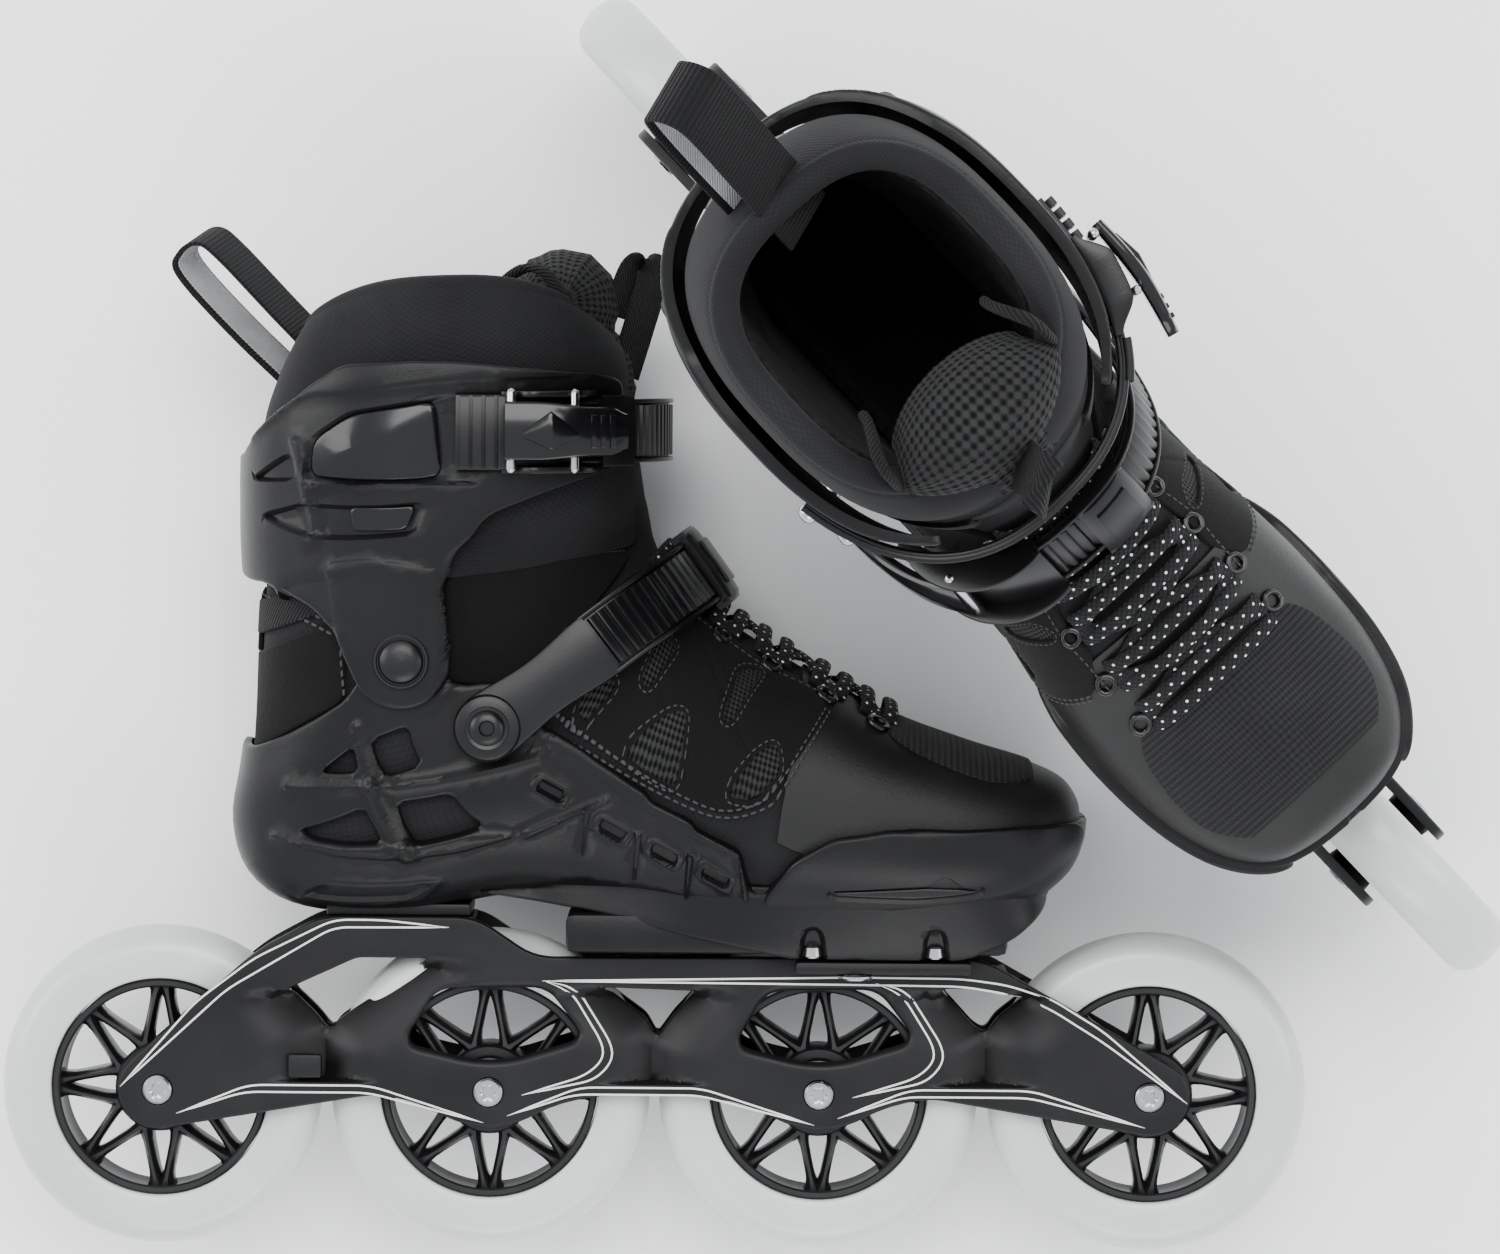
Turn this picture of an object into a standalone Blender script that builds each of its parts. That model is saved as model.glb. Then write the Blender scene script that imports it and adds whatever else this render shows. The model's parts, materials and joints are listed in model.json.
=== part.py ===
"""A pair of four-wheel inline skates. The right one lies on its inner side, and its mirror image stands next to it.

Lengths are in millimetres until a mesh is made, and MM turns them into metres. In a skate's own frame X points to
the toe, Y to the inner side of the foot and Z up; its origin is on the ground under the middle of the wheel row.
"""

import math

import bmesh
import bpy
import numpy as np
from mathutils import Euler, Matrix, Vector

MM = 0.001
GAP = 0.4

# Wheels, bearings and axles
WHEEL_RADIUS = 55.0
WHEEL_PITCH = 113.0
WHEEL_COUNT = 4
TYRE_WIDTH = 24.0
TYRE_BORE = 37.3
HUB_WIDTH = 20.0
HUB_CORE = 15.0
HUB_BORE = 11.5
BEARING_RADIUS = 11.0
BEARING_WIDTH = 7.0
AXLE_RADIUS = 4.0
AXLE_HEAD = 5.0
AXLE_HALF = 19.2
WHEEL_SIDES = 20
BORE_SIDES = 8
WHEEL_XS = [(i - (WHEEL_COUNT - 1) / 2) * WHEEL_PITCH for i in range(WHEEL_COUNT)]

# Frame
FRAME_HALF_WIDTH = 18.5
FRAME_WALL = 3.5
FRAME_TOP_REAR = 115.0
FRAME_TOP_FRONT = 102.0
BOSS_RADIUS = 7.5

# Boot, shell and cuff
SKIN_POWER = 2.6
SHELL_THICKNESS = 3.0
CUFF_START = 4.2
CUFF_THICKNESS = 3.0
BOOT_OUTSIDE = -2.0
BOOT_INSIDE = -10.0
SKIN_SIDES = 14
BOOT_TOP = 16
COLLAR_BOTTOM = 17
COLLAR_TOP = 20
CUFF_PIVOT = (-85.1, 203.5)
STRAP_ANCHOR = (-56.0, 181.5)
INSTEP_FRONT_Z = 229.0
CUFF_BAND_Z = 281.0
CUFF_HINGE = (-50.0, -63.5)

# How the two skates lie on the floor
RIGHT_PLACE = (-33.3, -158.9, 52.1)
RIGHT_TURN = (-87.7, 0.0, -0.47)
LEFT_PLACE = (99.9, 48.9, 54.95)
LEFT_TURN = (3.3, 0.0, -46.6)

# Sections of the boot from the toe to the collar: the lowest or rearmost point and the highest or foremost point
# on the mid-plane, as x and z, then the half-width on the outer side and on the inner side.
STATIONS = np.array(
    [
        (144.8, 148.8, 145.0, 150.2, 2.0, 2.0),
        (143.2, 141.0, 143.6, 156.5, 17.0, 18.0),
        (138.0, 131.5, 138.5, 163.0, 28.0, 31.0),
        (124.0, 121.5, 126.0, 168.5, 38.0, 41.0),
        (104.0, 116.5, 106.0, 174.5, 43.5, 46.5),
        (76.0, 115.5, 80.0, 184.0, 45.0, 48.0),
        (46.0, 115.5, 57.0, 197.0, 44.0, 46.0),
        (16.0, 117.0, 34.0, 210.5, 41.0, 41.0),
        (-14.0, 120.5, 15.0, 223.5, 39.0, 38.5),
        (-47.0, 125.0, 2.5, 238.0, 38.0, 37.5),
        (-86.0, 118.6, -0.5, 243.5, 38.0, 37.5),
        (-120.0, 120.0, -1.5, 247.0, 38.0, 37.5),
        (-137.0, 130.0, -2.0, 250.0, 38.0, 37.5),
        (-142.5, 147.0, -2.5, 252.5, 38.5, 38.0),
        (-140.0, 166.0, -3.0, 255.0, 40.0, 39.5),
        (-137.0, 190.0, -3.5, 257.0, 42.0, 41.5),
        (-135.0, 222.0, -4.2, 260.0, 45.0, 44.5),
        (-134.8, 226.0, -6.0, 272.0, 46.0, 45.5),
        (-136.0, 250.0, -7.5, 287.0, 47.5, 47.0),
        (-134.5, 283.0, -11.5, 306.0, 49.0, 48.5),
        (-122.5, 315.0, -21.0, 319.0, 47.0, 46.5),
    ]
)

# Side outlines, as x and z
SHELL_TOE_EDGE = [(-160, 95), (160, 95), (160, 150), (141, 149.5), (105, 148.2), (80, 148), (60, 145), (47, 138)]
SHELL_SIDE_EDGE = [(36, 124), (33, 127), (29, 140.6), (-1.2, 157.1), (-31.7, 176)]
SHELL_HEEL_EDGE = [(-104.2, 190), (-135, 172.9), (-160, 172.9)]
CUFF_LOWER_EDGE = [(-165, 232), (-136.4, 232), (-124.9, 228.6), (-113.1, 221.7), (-104, 212)]
CUFF_FRONT_EDGE = [(-71.6, 229), (-67.1, 240.7), (-55.6, 253.4), (-38.4, 260.6), (-17.1, 268.8), (-16.7, 296.7)]
CUFF_UPPER_EDGE = [(-44.6, 301.5), (-79.2, 303.6), (-102.4, 301.7), (-113.8, 293.5), (-135, 271.3), (-165, 265)]
FLANGE_LOWER_EDGE = [(-22, 116.5), (15, 109.3), (46.5, 102.4), (105, 102.4), (122, 110), (132, 118.5)]
FLANGE_UPPER_EDGE = [(125, 121), (100, 116.5)]
AXLE_DIP = [(-37, 54.2), (-22, 50.5), (-11, 44.6), (0, 42.5), (11, 44.6), (22, 50.5), (37, 54.2)]
HUB_WINDOW = [(-29, 71.5), (-18, 90.3), (20, 91), (33, 73.8), (7.3, 66), (-5.4, 65.9)]
REAR_WINDOW = [(-125.6, 89.8), (-101.4, 100.9), (-76.8, 100.8), (-108.8, 78.3), (-111.1, 74.6), (-116.6, 81.3)]
MIDDLE_WINDOW = [(-18.4, 91.4), (-2.9, 80.2), (0.9, 73.4), (6.3, 81), (14.8, 90.3)]
FRONT_WINDOW = [(97.4, 91.6), (110, 92.1), (126.4, 88.1), (117.6, 81.2), (113.9, 75.7), (110.1, 77.7)]
HEEL_LOOP_OUTSIDE = [(-111, 299), (-119, 291), (-161, 333), (-164, 341), (-156, 348.5), (-148, 346), (-108, 306)]
HEEL_LOOP_INSIDE = [(-119, 295.5), (-158, 334.5), (-160.5, 340.5), (-155.5, 345), (-149.5, 342.8), (-113, 303)]


MATERIALS = {
    "black_plastic": ((0.018, 0.018, 0.020), 0.45, 0.0),
    "black_textile": ((0.022, 0.022, 0.024), 0.90, 0.0),
    "anodised_black": ((0.014, 0.014, 0.016), 0.35, 0.6),
    "white_urethane": ((0.72, 0.73, 0.72), 0.30, 0.0),
    "hub_black": ((0.020, 0.020, 0.022), 0.40, 0.0),
    "steel": ((0.62, 0.62, 0.63), 0.25, 1.0),
    "lace_black": ((0.030, 0.030, 0.032), 0.85, 0.0),
}


def material(name):
    """A plain Principled material, made once."""
    found = bpy.data.materials.get(name)
    if found:
        return found
    colour, roughness, metallic = MATERIALS[name]
    made = bpy.data.materials.new(name)
    made.use_nodes = True
    shader = made.node_tree.nodes["Principled BSDF"]
    shader.inputs["Base Color"].default_value = (*colour, 1.0)
    shader.inputs["Roughness"].default_value = roughness
    shader.inputs["Metallic"].default_value = metallic
    return made


def add_object(name, data):
    made = bpy.data.objects.new(name, data)
    bpy.context.scene.collection.objects.link(made)
    return made


def bake(thing):
    """The evaluated mesh of an object in its parent's frame, on a new object at the origin."""
    bpy.context.view_layer.update()
    evaluated = thing.evaluated_get(bpy.context.evaluated_depsgraph_get())
    mesh = bpy.data.meshes.new_from_object(evaluated)
    mesh.transform(thing.matrix_world)
    shape = bmesh.new()
    shape.from_mesh(mesh)
    bmesh.ops.remove_doubles(shape, verts=shape.verts, dist=0.002 * MM)
    shape.to_mesh(mesh)
    shape.free()
    name = thing.name
    bpy.data.objects.remove(thing)
    return add_object(name, mesh)


def boolean(target, tool, operation):
    """The target joined with, cut by or trimmed to the tool, which is used up."""
    change = target.modifiers.new("shape", "BOOLEAN")
    change.operation = operation
    change.solver = "EXACT"
    change.object = tool
    made = bake(target)
    bpy.data.objects.remove(tool)
    return made


def union(pieces):
    whole = pieces[0]
    for piece in pieces[1:]:
        whole = boolean(whole, piece, "UNION")
    return whole


def arc(centre, radius, start, end, count):
    """Points round a centre from one angle to another, in degrees, in the x and z plane."""
    angles = [math.radians(start + (end - start) * i / (count - 1)) for i in range(count)]
    return [(centre[0] + radius * math.cos(a), centre[1] + radius * math.sin(a)) for a in angles]


def circle(centre, radius, count):
    return arc(centre, radius, 0, 360, count + 1)[:-1]


def plate(name, outlines, near, far):
    """Flat outlines in x and z, the first with the others as holes, extruded from y = near to y = far."""
    curve = bpy.data.curves.new(name, "CURVE")
    curve.dimensions = "2D"
    curve.fill_mode = "BOTH"
    curve.extrude = (far - near) / 2 * MM
    for outline in outlines:
        spline = curve.splines.new("POLY")
        spline.points.add(len(outline) - 1)
        for point, (x, z) in zip(spline.points, outline):
            point.co = (x * MM, z * MM, 0, 1)
        spline.use_cyclic_u = True
    made = add_object(name, curve)
    made.rotation_euler.x = math.pi / 2
    made.location.y = (near + far) / 2 * MM
    return bake(made)


def block(name, low, high):
    """A box between two corners."""
    bpy.ops.mesh.primitive_cube_add(size=1)
    made = bpy.context.object
    made.name = name
    low, high = Vector(low), Vector(high)
    made.location = (low + high) / 2 * MM
    made.scale = (high - low) * MM
    return bake(made)


def turned(name, profile, steps, centre=(0, 0, 0), closed=True):
    """A profile of radius and width, from its inner-side end down its outside, turned about an axis along Y."""
    mesh = bpy.data.meshes.new(name)
    count = len(profile)
    edges = [(i, i + 1) for i in range(count - 1)] + ([(count - 1, 0)] if closed else [])
    mesh.from_pydata([(radius * MM, 0, width * MM) for radius, width in profile], edges, [])
    made = add_object(name, mesh)
    screw = made.modifiers.new("turn", "SCREW")
    screw.steps = screw.render_steps = steps
    screw.use_merge_vertices = True
    screw.merge_threshold = 1e-6
    made.rotation_euler.x = -math.pi / 2
    made.location = Vector(centre) * MM
    return bake(made)


def loft(name, rings, cyclic=False):
    """Rings of points joined in order: with a cap at each end, or the last joined to the first."""
    rings = np.asarray(rings, float)
    count, around = rings.shape[:2]
    mesh = bpy.data.meshes.new(name)
    faces = []
    for i in range(count if cyclic else count - 1):
        below, above = i * around, (i + 1) % count * around
        for j in range(around):
            k = (j + 1) % around
            faces.append((below + j, below + k, above + k, above + j))
    if not cyclic:
        faces.append(tuple(reversed(range(around))))
        faces.append(tuple(range((count - 1) * around, count * around)))
    mesh.from_pydata((rings.reshape(-1, 3) * MM).tolist(), [], faces)
    shape = bmesh.new()
    shape.from_mesh(mesh)
    bmesh.ops.recalc_face_normals(shape, faces=shape.faces)
    shape.to_mesh(mesh)
    shape.free()
    return add_object(name, mesh)


def sections(t):
    """The station values at parameters t, on a smooth curve through the stations."""
    t = np.clip(np.asarray(t, float), 0, len(STATIONS) - 1 - 1e-9)
    i = np.floor(t).astype(int)
    u = (t - i)[..., None]
    last = len(STATIONS) - 1
    a, b, c, d = (STATIONS[np.clip(i + k, 0, last)] for k in (-1, 0, 1, 2))
    return b + 0.5 * u * (c - a + u * (2 * a - 5 * b + 4 * c - d + u * (3 * (b - c) + d - a)))


def on_skin(t, angle):
    """Points of the boot's skin: angle 0 is at the sole or heel, 180 degrees at the front, positive is inner."""
    t, angle = np.broadcast_arrays(np.asarray(t, float), np.asarray(angle, float))
    values = sections(t)
    along = -np.sign(np.cos(angle)) * np.abs(np.cos(angle)) ** (2 / SKIN_POWER)
    across = np.sign(np.sin(angle)) * np.abs(np.sin(angle)) ** (2 / SKIN_POWER)
    middle, half = (values[..., 0:2] + values[..., 2:4]) / 2, (values[..., 2:4] - values[..., 0:2]) / 2
    place = middle + half * along[..., None]
    width = np.where(across < 0, values[..., 4], values[..., 5])
    return np.stack([place[..., 0], width * across, place[..., 1]], axis=-1)


def skin(t, angle, out=0.0):
    """The skin moved out along its normal."""
    step = 1e-3
    t, angle = np.broadcast_arrays(np.asarray(t, float), np.asarray(angle, float))
    low = np.clip(t - step, 0, len(STATIONS) - 1)
    lengthwise = on_skin(t + step, angle) - on_skin(low, angle)
    round_it = on_skin(t, angle + step) - on_skin(t, angle - step)
    normal = np.cross(lengthwise, round_it)
    normal /= np.linalg.norm(normal, axis=-1, keepdims=True)
    return on_skin(t, angle) + normal * out


def find(x, z):
    """The parameter and angle of the skin point seen at x and z from the side."""
    low, high = 0.0, len(STATIONS) - 1.0
    for _ in range(50):
        t = (low + high) / 2
        bx, bz, fx, fz = sections(t)[:4]
        ahead = (fx - bx) * (z - bz) - (fz - bz) * (x - bx)
        low, high = (t, high) if ahead > 0 else (low, t)
    along = ((fx - bx) * (x - bx) + (fz - bz) * (z - bz)) / ((fx - bx) ** 2 + (fz - bz) ** 2) * 2 - 1
    along = min(1.0, max(-1.0, along))
    power = abs(along) ** (SKIN_POWER / 2)
    return t, math.acos(max(-1.0, min(1.0, -math.copysign(power, along))))


def front_point(z):
    """The x of the boot's front line at a height."""
    t = np.linspace(4, len(STATIONS) - 1, 400)
    values = sections(t)
    return float(np.interp(z, values[:, 3], values[:, 2]))


def strap_path(start, front, side, out, reach=1.0, count=7):
    """Points over the skin on the straight line, as seen from the side, from start towards the front line."""
    points = []
    for i in range(count):
        v = 1 - (1 - reach * i / (count - 1)) ** 2
        x, z = (start[k] + (front[k] - start[k]) * v for k in (0, 1))
        t, angle = find(x, z)
        points.append(skin(t, side * angle, out))
    return np.array(points)


def band(name, path, across, width, thickness):
    """A flat strap along a path; across is its width direction."""
    across = np.asarray(across, float) / np.linalg.norm(across)
    run = np.gradient(path, axis=0)
    up = np.cross(run, across)
    up /= np.linalg.norm(up, axis=1, keepdims=True)
    centre = np.array([-60.0, 0.0, 220.0])
    up *= np.sign(np.sum(up * (path - centre), axis=1, keepdims=True))
    side = across * width / 2
    rings = np.stack([path - side, path + side, path + side + up * thickness, path - side + up * thickness], axis=1)
    return loft(name, rings)


def patch(name, t_values, angles, out, thickness):
    """An open stretch of the skin with a wall built outwards on it."""
    t, a = np.meshgrid(t_values, angles, indexing="ij")
    points = skin(t, a, out).reshape(-1, 3) * MM
    rows, columns = t.shape
    mesh = bpy.data.meshes.new(name)
    faces = [
        (i * columns + j, (i + 1) * columns + j, (i + 1) * columns + j + 1, i * columns + j + 1)
        for i in range(rows - 1)
        for j in range(columns - 1)
    ]
    mesh.from_pydata(points.tolist(), [], faces)
    made = add_object(name, mesh)
    wall = made.modifiers.new("wall", "SOLIDIFY")
    wall.thickness = thickness * MM
    wall.offset = 1
    return bake(made)


def make_frame():
    """Two window-cut walls with a rear plate, front pads, cross bridges and axle bosses."""
    first, last = WHEEL_XS[0], WHEEL_XS[-1]
    outline = arc((first, WHEEL_RADIUS), 13.5, 135, 290, 7)
    for x in WHEEL_XS[1:-1]:
        outline += [(x + dx, z) for dx, z in AXLE_DIP]
    outline += arc((last, WHEEL_RADIUS), 13.5, 250, 405, 7)
    outline += [(112, FRAME_TOP_FRONT), (42, FRAME_TOP_FRONT), (-41, FRAME_TOP_FRONT - 0.5)]
    outline += [(-61, FRAME_TOP_REAR), (-114, FRAME_TOP_REAR), (-136, 103)]
    windows = [[(x + dx, z) for dx, z in HUB_WINDOW] for x in WHEEL_XS[1:-1]]
    windows += [REAR_WINDOW, MIDDLE_WINDOW, FRONT_WINDOW]
    inside, outside = FRAME_HALF_WIDTH - FRAME_WALL, FRAME_HALF_WIDTH
    lap = outside - 1
    pieces = [
        plate("frame", [outline] + windows, inside, outside),
        block("rear_plate", (-113, -lap, 111), (-62, lap, FRAME_TOP_REAR - 0.2)),
        block("middle_bridge", (-13, -lap, 95), (13, lap, 101)),
        block("front_bridge", (104, -lap, 93), (121, lap, 97)),
        block("rear_bridge", (-121, -lap, 103), (-106, lap, 107)),
        plate("far_wall", [outline] + windows, -outside, -inside),
    ]
    for side in (-1, 1):
        ends = sorted((side * (inside + 1), side * 31))
        pieces.append(block("pad", (48, ends[0], 97.5), (108, ends[1], FRAME_TOP_FRONT - 0.2)))
        for x in WHEEL_XS:
            ends = sorted((side * 10.6, side * (inside + 1)))
            pieces.append(plate("boss", [circle((x, WHEEL_RADIUS), BOSS_RADIUS, BORE_SIDES)], *ends))
    frame = union(pieces)
    for x in WHEEL_XS:
        bore = plate("bore", [circle((x, WHEEL_RADIUS), AXLE_HEAD + GAP, BORE_SIDES)], -30, 30)
        frame = boolean(frame, bore, "DIFFERENCE")
    return frame


def make_tyre():
    half = TYRE_WIDTH / 2
    outside = [(TYRE_BORE, half - 1.5), (46, half), (52.6, half * 0.6), (WHEEL_RADIUS, 0)]
    profile = outside + [(radius, -width) for radius, width in reversed(outside[:-1])]
    return turned("tyre", profile, WHEEL_SIDES)


def make_hub():
    """A rim and a core joined by a zigzag of spokes."""
    rim, core, web = TYRE_BORE - GAP, HUB_CORE, 1.6
    outlines = [circle((0, 0), rim, WHEEL_SIDES), circle((0, 0), HUB_BORE, BORE_SIDES)]
    count = 8
    step = 360 / count
    inner, outer = core + 1.5, rim - 4
    for i in range(count):
        at_rim, at_core = i * step, (i + 0.5) * step
        wide, narrow = step / 2 - 5.2, 3.4
        for middle, big, small in ((at_core, outer, inner + 4.5), (at_rim, inner, outer - 4.5)):
            spread = wide if big == outer else step / 2 - 8.5
            corners = [(big, middle - spread), (big, middle + spread), (small, middle)]
            outlines.append([(r * math.cos(math.radians(a)), r * math.sin(math.radians(a))) for r, a in corners])
    half = HUB_WIDTH / 2
    return plate("hub", outlines, -half, half)


def make_bearing_set():
    """Two bearings and the spacer between them, clamped as one by the axle."""
    edge, inner = HUB_WIDTH / 2 + 0.2, HUB_WIDTH / 2 + 0.2 - BEARING_WIDTH
    bore = AXLE_RADIUS + GAP
    outside = [(BEARING_RADIUS, edge), (BEARING_RADIUS, inner), (bore + 1.8, inner)]
    profile = outside + [(radius, -width) for radius, width in reversed(outside)] + [(bore, -edge), (bore, edge)]
    return turned("bearing_set", profile, BORE_SIDES)


def make_axle():
    """A shaft through the bearings with a thicker head in each frame wall."""
    shoulder = HUB_WIDTH / 2 + 0.9
    half = [(0, AXLE_HALF), (AXLE_HEAD, AXLE_HALF), (AXLE_HEAD, shoulder), (AXLE_RADIUS, shoulder)]
    return turned("axle", half + [(radius, -width) for radius, width in reversed(half)], BORE_SIDES, closed=False)


def make_boot():
    """A sock-shaped wall: its outside from the toe up, then its inside back down."""
    angles = np.linspace(0, 2 * math.pi, SKIN_SIDES, endpoint=False)
    outside = [skin(t, angles, BOOT_OUTSIDE) for t in (1.1, 2, 3, 4, 5.5, 7, 8.5, 10, 11, 12, 13, 14.5, BOOT_TOP)]
    inside = [skin(t, angles, BOOT_INSIDE) for t in (BOOT_TOP, 14, 12, 10.5, 8.5, 6.5, 4.5, 3)]
    return loft("boot", outside + inside)


def make_collar():
    """The padded shaft above the ankle, with the top of the tongue and the heel loop."""
    angles = np.linspace(0, 2 * math.pi, SKIN_SIDES, endpoint=False)
    lift = np.zeros((SKIN_SIDES, 3))
    lift[:, 2] = 16 * np.abs(np.sin(angles)) ** 1.5
    levels = [(COLLAR_BOTTOM, 0.0), (18, 0.0), (19, 0.4), (COLLAR_TOP, 1.0)]
    outside = [skin(t, angles, BOOT_OUTSIDE) + lift * share for t, share in levels]
    inside = [skin(t, angles, BOOT_INSIDE) + lift * share for t, share in reversed(levels)]
    tongue = [(-26, 300), (-12.5, 300), (-15, 320), (-15, 330), (-19.5, 342), (-35, 342.5), (-48, 330), (-40, 318)]
    collar = loft("collar", outside + inside, cyclic=True)
    collar = boolean(collar, plate("tongue", [tongue], -28, 28), "UNION")
    return boolean(collar, plate("heel_loop", [HEEL_LOOP_OUTSIDE, HEEL_LOOP_INSIDE], -11, 11), "UNION")


def make_shell():
    """The plastic cup round heel, sole and toe, with the flanges that carry the front mount."""
    t_values = [0.05, 0.6, 1.3, 2, 3, 4, 5.5, 7, 8.5, 10, 11, 12, 13, 14.5, 16]
    angles = np.radians(np.linspace(-120, 120, 13))
    shell = patch("shell", t_values, angles, 0.0, SHELL_THICKNESS)
    edge = SHELL_TOE_EDGE + SHELL_SIDE_EDGE + arc(STRAP_ANCHOR, 15, 0, 100, 4)
    edge += arc(CUFF_PIVOT, 11.5, 0, 190, 6) + SHELL_HEEL_EDGE
    shell = boolean(shell, plate("edge", [edge], -90, 90), "INTERSECT")
    flange = FLANGE_LOWER_EDGE + FLANGE_UPPER_EDGE
    for side in (-1, 1):
        shell = boolean(shell, plate("flange", [flange], *sorted((side * 16, side * 32))), "UNION")
    foot = block("heel_foot", (-112, -16, FRAME_TOP_REAR + 0.2), (-63, 16, FRAME_TOP_REAR + 3))
    shell = boolean(shell, foot, "UNION")
    return boolean(shell, plate("bore", [circle(CUFF_PIVOT, AXLE_RADIUS + GAP, 10)], -90, 90), "DIFFERENCE")


def make_cuff():
    t_values = np.linspace(13.5, 19.4, 7)
    angles = np.radians(np.linspace(-150, 150, 15))
    cuff = patch("cuff", t_values, angles, CUFF_START, CUFF_THICKNESS)
    edge = CUFF_LOWER_EDGE + arc(CUFF_PIVOT, 16, 190, 360, 6) + CUFF_FRONT_EDGE + CUFF_UPPER_EDGE
    cuff = boolean(cuff, plate("edge", [edge], -90, 90), "INTERSECT")
    return boolean(cuff, plate("bore", [circle(CUFF_PIVOT, AXLE_RADIUS + GAP, 10)], -90, 90), "DIFFERENCE")


def make_pivot(side):
    """The rivet that the cuff turns on: a shank through shell and cuff under a wide cap."""
    t, angle = find(*CUFF_PIVOT)
    skin_y = abs(float(skin(t, side * angle)[1]))
    cap = CUFF_START + CUFF_THICKNESS + 2.4
    profile = [(0, cap + 2.4), (7, cap + 2.4), (8.5, cap), (AXLE_RADIUS, cap), (AXLE_RADIUS, 0.8), (0, 0.8)]
    made = turned("pivot", profile, 12, closed=False)
    made.data.transform(Matrix.Translation((0, skin_y * MM, 0)))
    if side < 0:
        made.data.transform(Matrix.Rotation(math.pi, 4, "X"))
    made.data.transform(Matrix.Translation((CUFF_PIVOT[0] * MM, 0, CUFF_PIVOT[1] * MM)))
    return made


def instep_direction():
    front = (front_point(INSTEP_FRONT_Z), INSTEP_FRONT_Z)
    run = Vector((front[0] - STRAP_ANCHOR[0], 0, front[1] - STRAP_ANCHOR[1])).normalized()
    return front, (-run.z, 0, run.x)


def make_instep_ladder():
    """The toothed strap from the outer anchor over the top to the buckle."""
    front, across = instep_direction()
    outer = strap_path(STRAP_ANCHOR, front, -1, 7.5, count=8)
    inner = strap_path(STRAP_ANCHOR, front, 1, 7.5, count=8)[5:-1][::-1]
    return band("instep_ladder", np.concatenate([outer, inner]), across, 24, 3)


def make_instep_buckle():
    front, across = instep_direction()
    path = strap_path(STRAP_ANCHOR, front, 1, 8.5, reach=0.66, count=6)
    return band("instep_buckle", path, across, 26, 5)


def instep_lever_path():
    """The instep lever's line over the buckle, from its tip up to its hinge."""
    front, _ = instep_direction()
    return strap_path(STRAP_ANCHOR, front, 1, 15.0, reach=0.62, count=6)[1:]


def make_instep_lever():
    _, across = instep_direction()
    return band("instep_lever", instep_lever_path(), across, 18, 5)


def make_cuff_ladder():
    """The toothed strap from the cuff's inner edge round the shin to the buckle."""
    front = (front_point(CUFF_BAND_Z), CUFF_BAND_Z)
    outer = strap_path((-24, CUFF_BAND_Z), front, -1, 8.4, count=6)
    inner = strap_path((-50, CUFF_BAND_Z), front, 1, 8.4, count=7)[:-1][::-1]
    return band("cuff_ladder", np.concatenate([outer, inner]), (0, 0, 1), 22, 3)


def make_cuff_buckle():
    outer = strap_path((-66, CUFF_BAND_Z), (-27, CUFF_BAND_Z), -1, 9.0, count=5)
    return band("cuff_buckle", outer, (0, 0, 1), 25, 5)


def make_cuff_lever():
    """A lever that lies along the buckle, hinged at its rear end."""
    x, y = CUFF_HINGE
    path = np.array([(x, y, CUFF_BAND_Z), (x + 20, y + 1.5, CUFF_BAND_Z), (x + 40, y + 6, CUFF_BAND_Z)])
    return band("cuff_lever", path, (0, 0, 1), 20, 5)


def make_laces():
    """The lace, from row to row across the tongue."""
    points = []
    rows = [5.2, 5.9, 6.7, 7.5, 8.3, 9.1]
    for i, t in enumerate(rows):
        swing = np.array([-38, -18, 18, 38]) * (1 if i % 2 else -1)
        points += [skin(t, math.radians(180 + angle), 3.0) for angle in swing]
    curve = bpy.data.curves.new("laces", "CURVE")
    curve.dimensions = "3D"
    curve.bevel_depth = 2.0 * MM
    curve.bevel_resolution = 1
    curve.use_fill_caps = True
    spline = curve.splines.new("POLY")
    spline.points.add(len(points) - 1)
    for point, place in zip(spline.points, points):
        point.co = (*(place * MM), 1)
    return bake(add_object("laces", curve))


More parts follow.
